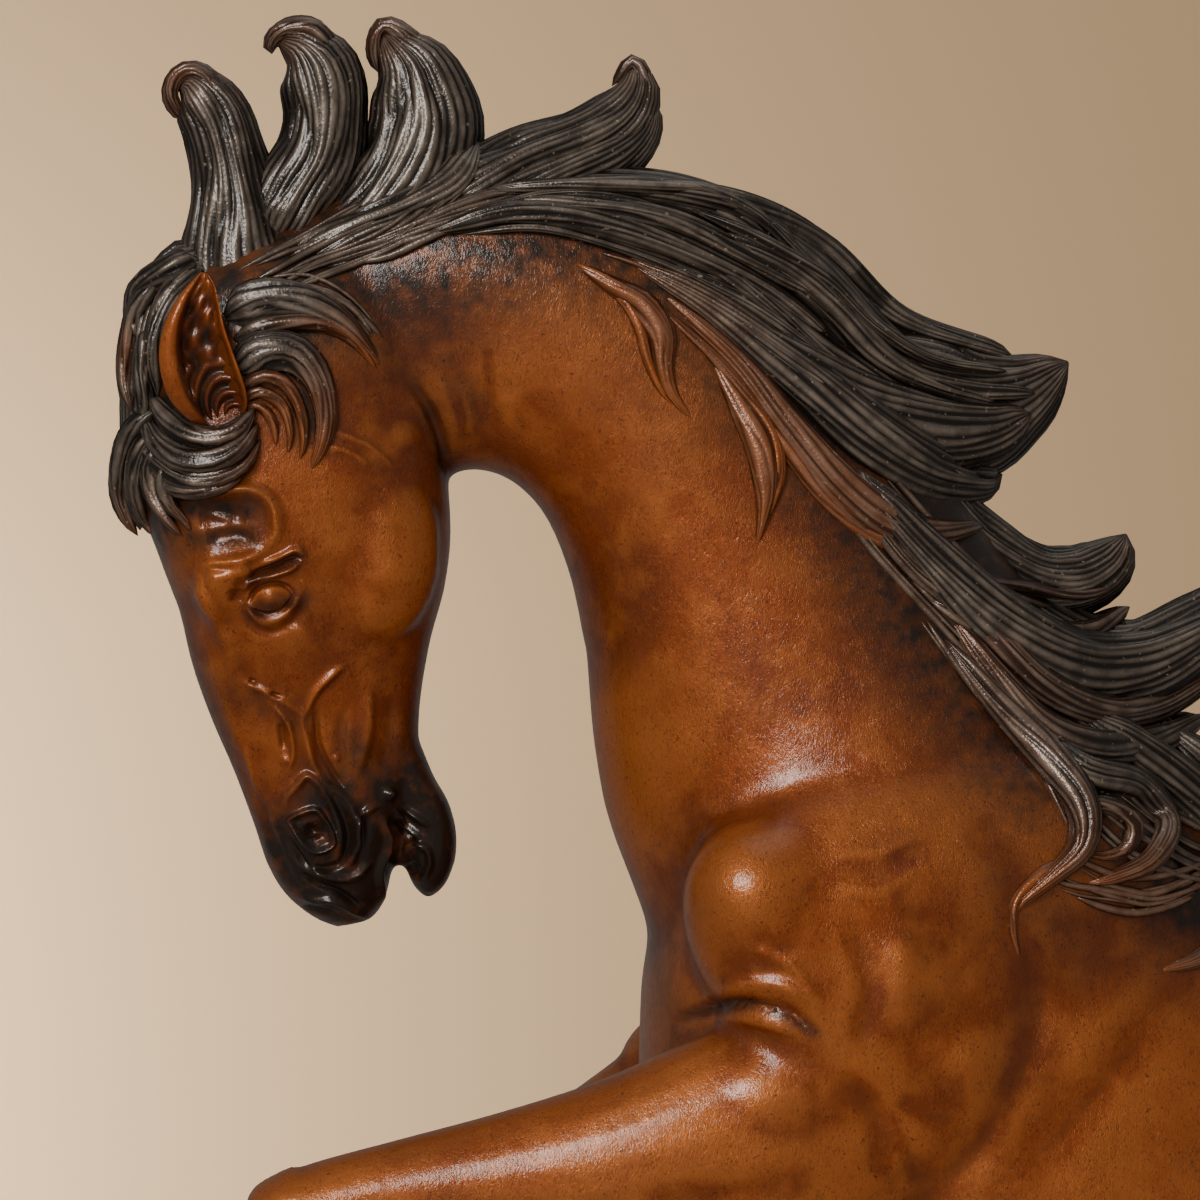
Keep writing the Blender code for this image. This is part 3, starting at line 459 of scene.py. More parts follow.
# Locks in the middle plane: column, row, half breadth, half thickness, and how much is rubbed bare, if any is
CREST_LOCKS = [
    [(246, 312, 66, 62), (238, 262, 58, 56), (237, 216, 50, 49), (233, 182, 42, 42), (226, 150, 37, 38),
     (217, 122, 36, 36), (203, 100, 32, 33, 0.05), (190, 85, 20, 25, 0.1), (178, 83, 10, 13, 0.1)],
    [(272, 246, 42, 48), (296, 198, 45, 46), (318, 160, 43, 42), (325, 124, 40, 40), (324, 90, 42, 38),
     (316, 64, 38, 34), (298, 45, 22, 26, 0.1), (276, 39, 10, 14, 0.1)],
    [(290, 266, 22, 56, 0.1), (340, 240, 36, 56, 0.05), (386, 208, 50, 54), (414, 170, 55, 52),
     (426, 130, 57, 48), (421, 94, 50, 42), (412, 68, 40, 36), (396, 48, 24, 26, 0.1),
     (382, 32, 11, 15, 0.1)],
    [(478, 142, 22, 44), (456, 184, 34, 60), (410, 214, 36, 68), (356, 236, 36, 70), (308, 264, 34, 66),
     (272, 296, 22, 54)],
    [(440, 228, 30, 62), (540, 188, 34, 56), (606, 162, 30, 46), (640, 136, 20, 32),
     (655, 102, 8, 12, 0.1)],
    [(430, 216, 40, 62), (520, 172, 42, 52), (580, 146, 37, 43), (620, 120, 34, 35),
     (637, 92, 24, 26, 0.05), (637, 64, 10, 12, 0.1)],
    [(430, 222, 34, 66), (580, 208, 42, 72), (690, 224, 46, 74), (776, 282, 54, 70), (844, 350, 50, 62),
     (910, 422, 60, 54), (966, 480, 44, 44)],
    [(700, 280, 34, 58), (830, 370, 56, 58), (905, 404, 74, 48), (968, 412, 74, 38), (1018, 396, 48, 30),
     (1048, 376, 27, 23, 0.05), (1068, 362, 11, 13, 0.1)],
    [(880, 474, 46, 58), (960, 540, 42, 50), (1026, 578, 37, 40), (1072, 582, 36, 36), (1104, 566, 30, 33),
     (1120, 546, 18, 24, 0.1), (1126, 534, 8, 12, 0.1)],
    [(900, 520, 40, 68), (990, 612, 52, 64), (1070, 666, 56, 56), (1136, 672, 54, 48), (1196, 640, 46, 40),
     (1254, 596, 30, 29), (1294, 550, 10, 12, 0.1)],
    [(1010, 640, 46, 78), (1110, 745, 58, 76), (1200, 812, 54, 66), (1280, 830, 44, 52),
     (1340, 800, 26, 32), (1372, 764, 9, 11, 0.1)],
    [(1130, 770, 50, 78), (1220, 860, 50, 70), (1310, 905, 40, 52), (1390, 915, 22, 28),
     (1434, 900, 7, 9, 0.1)],
    [(218, 104, 14, 30, 0.1), (206, 80, 13, 26, 0.15), (190, 72, 11, 23, 0.2), (176, 78, 9, 20, 0.3),
     (170, 94, 8, 16, 0.2), (176, 110, 7, 12, 0.2), (184, 120, 3, 6, 0.3)],
    [(332, 52, 14, 28), (312, 32, 13, 26, 0.1), (290, 30, 12, 22, 0.15), (276, 36, 10, 18, 0.2),
     (270, 46, 7, 12, 0.1), (272, 54, 3, 6, 0.1)],
    [(424, 58, 14, 26), (402, 36, 13, 22, 0.1), (384, 27, 10, 18, 0.2), (375, 38, 8, 15, 0.2),
     (374, 56, 7, 12, 0.1), (378, 72, 3, 6, 0.1)],
    [(640, 128, 13, 22), (645, 96, 11, 19), (640, 70, 9, 15, 0.1), (630, 62, 7, 11, 0.1),
     (620, 74, 5, 8, 0.1), (612, 86, 2, 4, 0.1)],
]
# Locks laid on what is below them: column, row, lift, half breadth, half thickness, and what is rubbed bare
SIDE_LOCKS = [
    [(690, 290, -4, 8, 14), (780, 356, 4, 24, 20), (856, 406, 6, 34, 22), (930, 432, 4, 38, 22),
     (988, 432, 2, 30, 18), (1030, 414, 0, 14, 12, 0.1)],
    [(624, 258, -6, 7, 10, 0.3), (710, 306, 0, 16, 16, 0.1), (796, 374, 4, 28, 20), (868, 436, 6, 36, 22),
     (930, 474, 4, 34, 20), (984, 484, 0, 18, 14), (1002, 474, 0, 6, 8, 0.1)],
    [(660, 292, -5, 5, 8, 0.6), (736, 360, 0, 12, 12, 0.45), (786, 424, 2, 18, 15, 0.4),
     (838, 486, 4, 22, 17, 0.4), (888, 526, 4, 22, 16, 0.3), (936, 534, 2, 15, 13, 0.2),
     (982, 526, 0, 5, 7, 0.2)],
    [(650, 300, -5, 4, 6, 0.8), (712, 356, -2, 7, 8, 0.6), (766, 420, 0, 9, 9, 0.6),
     (822, 492, 1, 10, 10, 0.6), (880, 538, 1, 9, 9, 0.7), (928, 550, -1, 5, 6, 0.8)],
    [(572, 262, -4, 4, 6, 0.8), (612, 286, 1, 9, 9, 0.7), (642, 304, 3, 13, 11, 0.6),
     (661, 334, 3, 14, 11, 0.6), (663, 366, 2, 10, 9, 0.7), (672, 394, 1, 6, 6, 0.9),
     (694, 422, -3, 2, 3, 1)],
    [(588, 276, -4, 3, 4, 1), (622, 300, 0, 5, 6, 1), (640, 330, 2, 6, 7, 0.9), (648, 362, 1, 5, 6, 1),
     (662, 392, 0, 3, 4, 1), (680, 410, -3, 1.5, 2, 1)],
    [(712, 360, -4, 4, 6, 0.8), (736, 402, 1, 10, 9, 0.6), (758, 444, 3, 14, 12, 0.6),
     (766, 486, 3, 12, 11, 0.7), (762, 520, 1, 6, 7, 0.9), (756, 548, -3, 2, 3, 1)],
    [(722, 370, -4, 3, 5, 1), (750, 402, 0, 6, 7, 0.9), (772, 436, 2, 8, 9, 0.9), (778, 476, 2, 7, 8, 1),
     (768, 514, 0, 4, 5, 1), (758, 536, -3, 2, 3, 1)],
    [(226, 318, -2, 22, 14), (262, 302, 2, 23, 13), (302, 304, 3, 20, 12), (336, 320, 2, 15, 10, 0.15),
     (360, 342, 1, 9, 7, 0.4), (382, 370, -3, 2, 3, 0.9)],
    [(234, 340, 0, 9, 10), (268, 326, 4, 9, 10, 0.1), (310, 322, 5, 8, 9, 0.3), (342, 332, 3, 6, 7, 0.6),
     (364, 352, 1, 4, 5, 0.9), (378, 372, -2, 2, 3, 1)],
    [(234, 372, 0, 19, 13), (262, 352, 3, 20, 14), (294, 354, 5, 19, 13, 0.05), (316, 378, 5, 16, 12, 0.2),
     (325, 412, 4, 12, 10, 0.4), (322, 442, 2, 8, 8, 0.7), (310, 472, -2, 2, 3, 1)],
    [(238, 390, 0, 7, 9, 0.2), (262, 376, 4, 7, 9, 0.4), (286, 384, 6, 7, 9, 0.5), (301, 412, 5, 6, 8, 0.7),
     (304, 440, 3, 4, 6, 0.8), (300, 460, -1, 2, 3, 0.9)],
    [(240, 402, 0, 6, 7, 0.3), (260, 392, 3, 6, 7, 0.5), (281, 404, 4, 6, 7, 0.7), (290, 430, 3, 4, 6, 0.8),
     (288, 454, -1, 2, 3, 0.9)],
    [(240, 411, 0, 5, 6, 0.4), (258, 406, 3, 5, 6, 0.6), (272, 420, 3, 5, 6, 0.7),
     (276, 446, -1, 2, 3, 0.9)],
    [(850, 470, -2, 18, 20, 0.1), (926, 556, 4, 26, 24), (1002, 628, 6, 34, 28), (1076, 668, 6, 38, 28),
     (1144, 668, 6, 36, 26), (1206, 636, 4, 24, 20), (1252, 602, 0, 7, 9, 0.1)],
    [(936, 566, 0, 10, 14, 0.3), (990, 632, 6, 15, 18, 0.2), (1044, 686, 8, 18, 20, 0.1),
     (1104, 712, 8, 18, 20, 0.1), (1160, 704, 6, 16, 18, 0.1), (1214, 674, 0, 6, 8, 0.2)],
    [(950, 616, -2, 8, 12, 0.4), (996, 676, 4, 13, 16, 0.2), (1044, 728, 6, 18, 20, 0.1),
     (1100, 750, 6, 20, 20), (1156, 742, 4, 16, 18), (1206, 716, 0, 7, 9, 0.1)],
    [(944, 640, -4, 8, 12, 0.2), (996, 702, 4, 15, 16, 0.1), (1044, 752, 6, 19, 20, 0.1),
     (1080, 800, 8, 18, 18, 0.1), (1082, 844, 8, 14, 15, 0.3), (1052, 876, 4, 9, 11, 0.6),
     (1022, 902, 0, 5, 6, 0.9), (1012, 922, -4, 2, 3, 1)],
    [(1030, 734, 0, 12, 16), (1084, 772, 6, 17, 19), (1134, 786, 8, 18, 19), (1166, 822, 8, 15, 16, 0.1),
     (1150, 860, 6, 11, 12, 0.3), (1112, 878, 2, 7, 8, 0.5), (1084, 884, -3, 2, 3, 0.8)],
    [(1080, 800, 4, 8, 10, 0.1), (1112, 806, 8, 9, 11, 0.1), (1134, 826, 8, 9, 10, 0.2),
     (1124, 850, 6, 7, 8, 0.3), (1098, 856, 2, 4, 5, 0.5), (1082, 850, -3, 2, 3, 0.6)],
    [(1080, 712, 0, 18, 22), (1170, 780, 6, 28, 28), (1236, 850, 8, 28, 26), (1244, 916, 6, 18, 18, 0.1),
     (1204, 956, 2, 9, 10, 0.4), (1156, 972, -4, 3, 4, 0.9)],
    [(1160, 724, 0, 18, 22), (1246, 806, 6, 26, 26), (1306, 888, 8, 24, 24), (1318, 962, 6, 16, 16, 0.1),
     (1284, 1014, 2, 8, 9, 0.3), (1240, 1036, -4, 2, 3, 0.7)],
    [(1060, 860, 0, 5, 7, 0.6), (1036, 878, 1, 6, 7, 0.8), (1016, 900, 1, 5, 6, 0.9),
     (1012, 930, 0, 4, 5, 0.8), (1020, 960, -3, 2, 3, 0.6)],
]
FORELOCK = [
    [(196, 262, 0, 20, 24), (168, 274, 2, 18, 22), (142, 290, 2, 14, 18), (132, 314, 2, 9, 14),
     (136, 336, 0, 4, 7, 0.1)],
    [(200, 268, 0, 16, 20), (172, 296, 4, 15, 18), (156, 330, 6, 12, 16), (152, 366, 6, 10, 14),
     (158, 398, 2, 4, 7)],
    [(160, 280, 0, 14, 18), (138, 308, 2, 11, 16), (127, 346, 2, 9, 15, 0.3), (125, 384, 2, 8, 12, 0.2),
     (132, 412, 0, 3, 6, 0.1)],
    [(148, 330, 2, 10, 14), (142, 370, 4, 10, 14), (146, 406, 4, 9, 12), (142, 436, 2, 4, 6)],
    [(254, 408, 6, 6, 9, 0.1), (238, 430, 12, 11, 12, 0.1), (212, 440, 14, 13, 14, 0.1),
     (186, 434, 14, 13, 14), (166, 418, 10, 11, 12), (152, 398, 4, 5, 8)],
    [(258, 424, 4, 5, 8, 0.2), (240, 448, 12, 11, 13, 0.1), (212, 462, 16, 14, 15, 0.05),
     (182, 460, 16, 14, 15), (158, 444, 12, 12, 14), (144, 420, 6, 6, 9)],
    [(260, 440, 2, 4, 7, 0.3), (242, 466, 8, 9, 11, 0.2), (214, 480, 12, 11, 13, 0.1),
     (184, 480, 14, 11, 13), (158, 466, 12, 10, 12), (142, 446, 6, 5, 8)],
    [(252, 464, 0, 3, 5, 0.4), (230, 484, 4, 6, 8, 0.2), (204, 492, 8, 7, 9, 0.1), (176, 490, 10, 8, 10),
     (156, 480, 8, 4, 6)],
    [(160, 408, 4, 10, 13), (136, 430, 6, 13, 16), (122, 460, 6, 12, 16), (119, 492, 5, 10, 14, 0.1),
     (127, 518, 3, 7, 10, 0.2), (138, 536, -2, 2, 4, 0.4)],
    [(156, 430, 8, 10, 13), (140, 454, 10, 12, 15), (134, 484, 8, 10, 13), (140, 512, 6, 7, 9, 0.1),
     (152, 534, 0, 2, 4, 0.3)],
    [(160, 446, 12, 9, 12), (150, 470, 14, 10, 13), (154, 498, 12, 8, 10, 0.1), (168, 520, 8, 5, 7, 0.2),
     (182, 536, 0, 2, 4, 0.4)],
    [(172, 462, 14, 9, 11), (164, 482, 14, 9, 11), (170, 504, 10, 7, 8, 0.1), (184, 520, 4, 4, 5, 0.3),
     (192, 532, -2, 2, 3, 0.5)],
]
# The forelock's heart, in the middle plane
FORELOCK_HEART = [
    (226, 266, 44, 44), (186, 284, 38, 46), (156, 322, 28, 54), (146, 380, 24, 58), (144, 440, 22, 52),
    (138, 492, 16, 40), (140, 530, 5, 14),
]
# Thin strands combed between two guides on the skin: how many, half breadth, half thickness, rubbing, guides
COMBED = [
    (14, 4.5, 6, 0.05, [(268, 300), (320, 276), (400, 246), (470, 190)],
     [(236, 268), (300, 236), (360, 206), (420, 170)]),
    (12, 4.5, 6, 0.05, [(300, 276), (372, 258), (440, 230), (520, 206)],
     [(400, 226), (470, 196), (540, 180), (600, 166)]),
    (12, 4.5, 6, 0.1, [(420, 240), (520, 222), (610, 228), (700, 272)],
     [(470, 206), (560, 192), (650, 196), (740, 244)]),
    (9, 4.5, 6, 0.3, [(560, 246), (640, 264), (720, 320), (790, 400)],
     [(620, 238), (700, 262), (780, 322), (850, 392)]),
    (11, 4.5, 6, 0.1, [(810, 470), (870, 550), (930, 620), (1000, 690)],
     [(870, 450), (940, 530), (1010, 590), (1090, 620)]),
    (12, 5, 6, 0.1, [(920, 620), (970, 690), (1030, 760), (1070, 830)],
     [(1000, 640), (1070, 700), (1140, 740), (1200, 760)]),
    (12, 5, 6, 0.05, [(1070, 800), (1120, 850), (1180, 880), (1250, 880)],
     [(1120, 730), (1190, 790), (1260, 830), (1330, 840)]),
    (8, 4.5, 6, 0.25, [(1040, 890), (1090, 900), (1150, 910), (1210, 890)],
     [(1060, 850), (1120, 880), (1170, 880), (1230, 850)]),
    (10, 4.5, 5, 0.1, [(240, 330), (290, 312), (340, 324), (378, 368)],
     [(244, 284), (296, 280), (346, 296), (384, 334)]),
]
# Locks combed over the crest, given as the thin strands are
SWEPT = [
    (6, 13, 18, 0, [(430, 204), (540, 180), (650, 186), (750, 210), (838, 274)],
     [(430, 240), (540, 224), (660, 246), (770, 310), (850, 372)]),
    (9, 15, 20, 0, [(600, 186), (720, 204), (806, 252), (900, 332), (1050, 362)],
     [(600, 254), (720, 312), (820, 396), (910, 456), (990, 488)]),
    (4, 12, 13, 0.1, [(850, 480), (930, 560), (1010, 600), (1080, 606), (1124, 580)],
     [(860, 520), (930, 600), (1010, 650), (1100, 664), (1180, 640)]),
]
# Locks of the tail: column, row, aside, half breadth, half thickness, and what is rubbed bare
TAIL = [
    [(1780, 1860, 0, 40, 40), (1860, 1800, 0, 62, 56), (1960, 1770, 0, 72, 64), (2060, 1810, 0, 82, 72),
     (2140, 1920, 0, 92, 80), (2180, 2090, 0, 100, 86), (2184, 2290, 0, 102, 86), (2150, 2500, 0, 96, 82),
     (2096, 2710, 0, 86, 76), (2044, 2910, 0, 78, 68, 0.1), (2010, 3076, 0, 70, 60, 0.1)],
    [(2080, 1900, 20, 20, 24), (2190, 1990, 40, 44, 44), (2262, 2130, 44, 44, 42), (2286, 2280, 32, 34, 34),
     (2316, 2400, 14, 20, 22, 0.1), (2358, 2466, 0, 5, 7, 0.3)],
    [(2130, 2060, -20, 20, 24), (2180, 2260, -50, 46, 46), (2222, 2460, -52, 46, 42),
     (2214, 2640, -42, 34, 34), (2236, 2770, -24, 20, 22, 0.1), (2282, 2840, -12, 5, 7, 0.3)],
    [(2150, 2240, -20, 20, 24), (2096, 2440, -54, 44, 42), (2030, 2640, -56, 42, 38),
     (1976, 2810, -46, 32, 30), (1926, 2920, -34, 18, 20, 0.1), (1872, 2972, -26, 5, 7, 0.3)],
    [(2150, 2340, 20, 20, 24), (2084, 2560, 54, 44, 40), (2050, 2740, 56, 42, 38), (2000, 2900, 46, 30, 30),
     (1950, 2990, 34, 16, 18, 0.1), (1900, 3030, 26, 5, 7, 0.3)],
    [(2150, 2440, 20, 24, 30), (2130, 2660, 36, 44, 44), (2106, 2850, 36, 40, 40),
     (2130, 2970, 28, 24, 26, 0.1), (2180, 3030, 20, 6, 8, 0.3)],
    [(1880, 1800, 20, 14, 20), (1980, 1760, 36, 24, 26), (2090, 1800, 44, 28, 28), (2170, 1900, 46, 26, 26),
     (2222, 2020, 40, 14, 16, 0.1), (2256, 2090, 30, 4, 6, 0.3)],
    [(1880, 1810, -20, 14, 20), (1970, 1790, -40, 26, 28), (2060, 1850, -54, 32, 30),
     (2120, 1990, -60, 32, 30), (2140, 2140, -56, 20, 20), (2136, 2260, -46, 5, 7, 0.2)],
    [(2060, 1860, 40, 16, 20), (2110, 2020, 62, 30, 30), (2130, 2220, 66, 34, 32), (2110, 2420, 62, 26, 26),
     (2070, 2580, 50, 6, 8, 0.1)],
]

# Colours as they are read off a patinated bronze in daylight
SKIN_BROWN = "#7C3A12"
SKIN_LIGHT = "#9A5624"
SKIN_RED = "#6A3012"
SKIN_SHADE = "#391C0E"
SKIN_DARK = "#251B16"
HAIR_DARK = "#17120F"
HAIR_BROWN = "#7E7064"
HAIR_RUBBED = "#8A4818"
# Pale specks: dust and painted glints
HAIR_DUST_AND_GLINT = "#8C7C6C"
WALL_BEIGE = "#AE9474"


def linear(colour):
    """A scene-linear colour with alpha from a six-digit screen colour."""
    parts = [int(colour[i : i + 2], 16) / 255 for i in (1, 3, 5)]
    return (*[part / 12.92 if part <= 0.04045 else ((part + 0.055) / 1.055) ** 2.4 for part in parts], 1.0)


def length(name, description, default):
    """A length that the panel lists."""
    return FloatProperty(name=name, description=description, default=default, unit="LENGTH")


class HorseSkin(bpy.types.PropertyGroup):
    """How finely the skin is modelled."""

    cell: length("Cell", "Size of the cells that the forms are merged in", 0.0008)
    body_cell: length("Body cell", "Cell size for the body's first rounding", 0.0014)
    rounding: IntProperty(name="Rounding", description="How many times the body is smoothed", default=22)
    faces: IntProperty(name="Triangles", description="The most triangles the skin keeps", default=192000)


class HorseHair(bpy.types.PropertyGroup):
    """The strands modelled in the mane and tail."""

    pitch: length("Strand pitch", "Distance from strand to strand", 0.00115)
    depth: length("Strand depth", "Depth of the grooves between strands", 0.00046)
    step: length("Step", "Distance from ring to ring along a lock", 0.00145)


class HorseBase(bpy.types.PropertyGroup):
    """The low bronze ground."""

    along: length("Length", "Along the horse", 0.186)
    across: length("Width", "Across the horse", 0.112)
    edge: length("Edge", "Radius of the rounded upper edge", 0.0035)
    relief: length("Relief", "Depth of the modelled earth", 0.0012)


def places(columns, rows, asides):
    """Points in metres, one a row, for places on the squared sheet."""
    x = (np.asarray(columns, float) - MIDDLE_COLUMN) * SQUARE
    y = np.asarray(asides, float) * SQUARE
    z = BASE_HEIGHT + SEAT_GAP + (SOLE_ROW - np.asarray(rows, float)) * SQUARE
    return np.stack(np.broadcast_arrays(x, y, z), axis=-1)


def squared(column, row, aside):
    """The square place on the sheet of a near form's place that is drawn as the eye sees it."""
    across, down, near = column - VIEW_MIDDLE[0], row - VIEW_MIDDLE[1], abs(aside)
    along = across * (VIEW_SQUARES - near * TURN_C) - VIEW_SQUARES * near * TURN_S
    along /= VIEW_SQUARES * TURN_C - across * TURN_S
    nearer = near * TURN_C - along * TURN_S
    return VIEW_MIDDLE[0] + along, VIEW_MIDDLE[1] + down * (VIEW_SQUARES - nearer) / VIEW_SQUARES


def seen(points):
    """The columns and rows at which the eye sees points, with the far side's laid on the near side."""
    along = points[:, 0] / SQUARE + MIDDLE_COLUMN - VIEW_MIDDLE[0]
    down = SOLE_ROW - (points[:, 2] - BASE_HEIGHT - SEAT_GAP) / SQUARE - VIEW_MIDDLE[1]
    near = np.abs(points[:, 1]) / SQUARE
    scale = VIEW_SQUARES / (VIEW_SQUARES - near * TURN_C + along * TURN_S)
    return VIEW_MIDDLE[0] + (along * TURN_C + near * TURN_S) * scale, VIEW_MIDDLE[1] + down * scale


def squared_rows(rows):
    """A near form's rows, drawn as the eye sees them, with their places made square."""
    return [(*squared(*row[0:2], row[4]), *squared(*row[2:4], row[4]), *row[4:]) for row in rows]


def curve_through(rows, steps):
    """The rows, and steps - 1 more between each two, on one smooth curve."""
    rows = np.asarray(rows, float)
    padded = np.vstack([2 * rows[0] - rows[1], rows, 2 * rows[-1] - rows[-2]])
    found = []
    for i in range(1, len(padded) - 2):
        before, start, end, after = padded[i - 1 : i + 3]
        for t in np.arange(steps) / steps:
            bend = (2 * before - 5 * start + 4 * end - after) * t**2
            twist = (3 * start - before - 3 * end + after) * t**3
            found.append(0.5 * (2 * start + (end - before) * t + bend + twist))
    return np.vstack([found, rows[-1:]])


def reared(along, height):
    """A place on the sheet for a point of the standing trunk, given from the point of the shoulder."""
    turn_c, turn_s = math.cos(REAR_ANGLE), math.sin(REAR_ANGLE)
    return SHOULDER[0] + along * turn_c + height * turn_s, SHOULDER[1] + along * turn_s - height * turn_c


def turned(column, row, pivot, angle):
    """A place on the sheet turned about a pivot, clockwise as drawn for a positive angle."""
    across, down = column - pivot[0], row - pivot[1]
    turn_c, turn_s = math.cos(angle), math.sin(angle)
    return pivot[0] + across * turn_c - down * turn_s, pivot[1] + across * turn_s + down * turn_c


def turned_rows(rows, pivot, angle):
    """A form's rows with their front and back places turned about a pivot."""
    return [(*turned(*row[0:2], pivot, angle), *turned(*row[2:4], pivot, angle), *row[4:]) for row in rows]


def on_side(rows, side):
    """A form's rows moved to the left side (-1) or the right side (1)."""
    return [(*row[:4], side * row[4], *row[5:]) for row in rows]


def stepped(rows, side):
    """A hind leg's rows on their side. The right leg stands a step behind."""
    step = FAR_HIND_STEP if side > 0 else 0.0
    moved = []
    for row in rows:
        front, back = (max(0.0, (row[k] - HIND_HIP_ROW) / (SOLE_ROW - HIND_HIP_ROW)) for k in (1, 3))
        moved.append((row[0] + step * front, row[1], row[2] + step * back, *row[3:]))
    return on_side(moved, side)


def filled(lock, in_middle=False):
    """A lock's rows with what the tables leave out: no aside in the middle plane, and nothing rubbed bare."""
    rows = [(*row[:2], 0, *row[2:]) if in_middle else row for row in lock]
    return [row if len(row) == 6 else (*row, 0.0) for row in rows]


def tube(rings, around):
    """Quads that join rings of points, and a face for each end."""
    first = np.arange(rings - 1)[:, None] * around
    j = np.arange(around)[None, :]
    k = (j + 1) % around
    quads = np.stack([first + j, first + k, first + around + k, first + around + j], axis=-1).reshape(-1, 4)
    last = (rings - 1) * around
    return [*quads.tolist(), list(range(around))[::-1], list(range(last, last + around))]


@contextmanager
def opened(made):
    """An object's mesh, open for editing."""
    mesh = bmesh.new()
    mesh.from_mesh(made.data)
    yield mesh
    mesh.to_mesh(made.data)
    mesh.free()


def store(data, label, value):
    """Stores a value for each of a mesh's points."""
    attribute = data.attributes.new(label, "FLOAT", "POINT")
    attribute.data.foreach_set("value", value.astype(np.float32))


def move(data, points):
    """Moves a mesh's points."""
    data.vertices.foreach_set("co", points.ravel())
    data.update()


class Pile:
    """Points, faces and named values of several surfaces, put together as one mesh."""

    def __init__(self):
        self.points = []
        self.faces = []
        self.values = {}
        self.count = 0

    def add(self, points, faces, **values):
        """Adds a surface, and a value of each name for each of its points."""
        self.points.append(points)
        self.faces.extend([[self.count + i for i in face] for face in faces])
        self.count += len(points)
        for name, value in values.items():
            self.values.setdefault(name, []).append(value)

    def make(self, name):
        """An object in the scene from the pile, shaded smooth, with its faces turned outward."""
        data = bpy.data.meshes.new(name)
        data.from_pydata(np.vstack(self.points).tolist(), [], self.faces)
        for label, value in self.values.items():
            store(data, label, np.concatenate(value))
        data.shade_smooth()
        made = bpy.data.objects.new(name, data)
        bpy.context.scene.collection.objects.link(made)
        with opened(made) as mesh:
            bmesh.ops.recalc_face_normals(mesh, faces=mesh.faces[:])
        return made


def swollen(angles, squareness):
    """The cosines and sines of angles, swollen towards a square."""
    c, s = np.cos(angles), np.sin(angles)
    power = 2 / squareness
    return np.sign(c) * np.abs(c) ** power, np.sign(s) * np.abs(s) ** power


def add_form(pile, rows, sides=24, steps=4):
    """Adds a body form: egg-shaped rings between a front and a back outline."""
    angles = math.tau * (np.arange(sides) + 0.5) / sides
    rings = []
    for row in curve_through(rows, steps):
        front_c, front_r, back_c, back_r, aside, half_width, widest, squareness = row
        along, across = swollen(angles, squareness)
        share = widest + along * np.where(along > 0, 1 - widest, widest)
        column, height = back_c + (front_c - back_c) * share, back_r + (front_r - back_r) * share
        rings.append(places(column, height, aside + half_width * across))
    pile.add(np.vstack(rings), tube(len(rings), sides))


def add_swellings(pile, swellings, side):
    """Adds egg-shaped swellings to one side, given as the eye sees them."""
    sides = 20
    turns = math.tau * np.arange(sides) / sides
    for column, row, aside, half_length, half_height, half_width in swellings:
        column, row = squared(column, row, aside)
        rings = []
        for angle in math.pi * np.arange(1, 12) / 12:
            along, girth = half_length * math.cos(angle), math.sin(angle)
            down = half_height * girth * np.cos(turns)
            across = half_width * girth * np.sin(turns)
            rings.append(places(column + along, row + down, side * aside + across))
        pile.add(np.vstack(rings), tube(len(rings), sides))


def apply_modifiers(made):
    """Replaces an object's mesh by what its modifiers make of it."""
    bpy.context.view_layer.update()
    graph = bpy.context.evaluated_depsgraph_get()
    data = bpy.data.meshes.new_from_object(made.evaluated_get(graph))
    made.modifiers.clear()
    made.data = data


def merge_forms(made, size, smoothing):
    """Melts the overlapping forms into one skin, as wax would be, and rounds where they meet."""
    remesh = made.modifiers.new("merge", "REMESH")
    remesh.mode = "VOXEL"
    remesh.voxel_size = size
    smooth = made.modifiers.new("round", "SMOOTH")
    smooth.factor = 0.5
    smooth.iterations = smoothing
    apply_modifiers(made)


def read_points(data):
    """A mesh's points, edges and normals as arrays."""
    points = np.empty(len(data.vertices) * 3)
    data.vertices.foreach_get("co", points)
    edges = np.empty(len(data.edges) * 2, dtype=np.int64)
    data.edges.foreach_get("vertices", edges)
    normals = np.empty(len(data.vertices) * 3, dtype=np.float32)
    data.vertex_normals.foreach_get("vector", normals)
    return points.reshape(-1, 3), edges.reshape(-1, 2), normals.reshape(-1, 3).astype(float)


def relaxed(values, edges, rounds, share=None):
    """Values moved towards their neighbours' mean, in several rounds."""
    values = values.copy()
    both = np.concatenate([edges, edges[:, ::-1]])
    count = np.maximum(np.bincount(both[:, 0], minlength=len(values)), 1)
    flat = values.reshape(len(values), -1)
    for _ in range(rounds):
        for k in range(flat.shape[1]):
            mean = np.bincount(both[:, 0], weights=flat[both[:, 1], k], minlength=len(values)) / count
            step = 0.5 * (mean - flat[:, k])
            flat[:, k] += step if share is None else step * share
    return flat.reshape(values.shape)


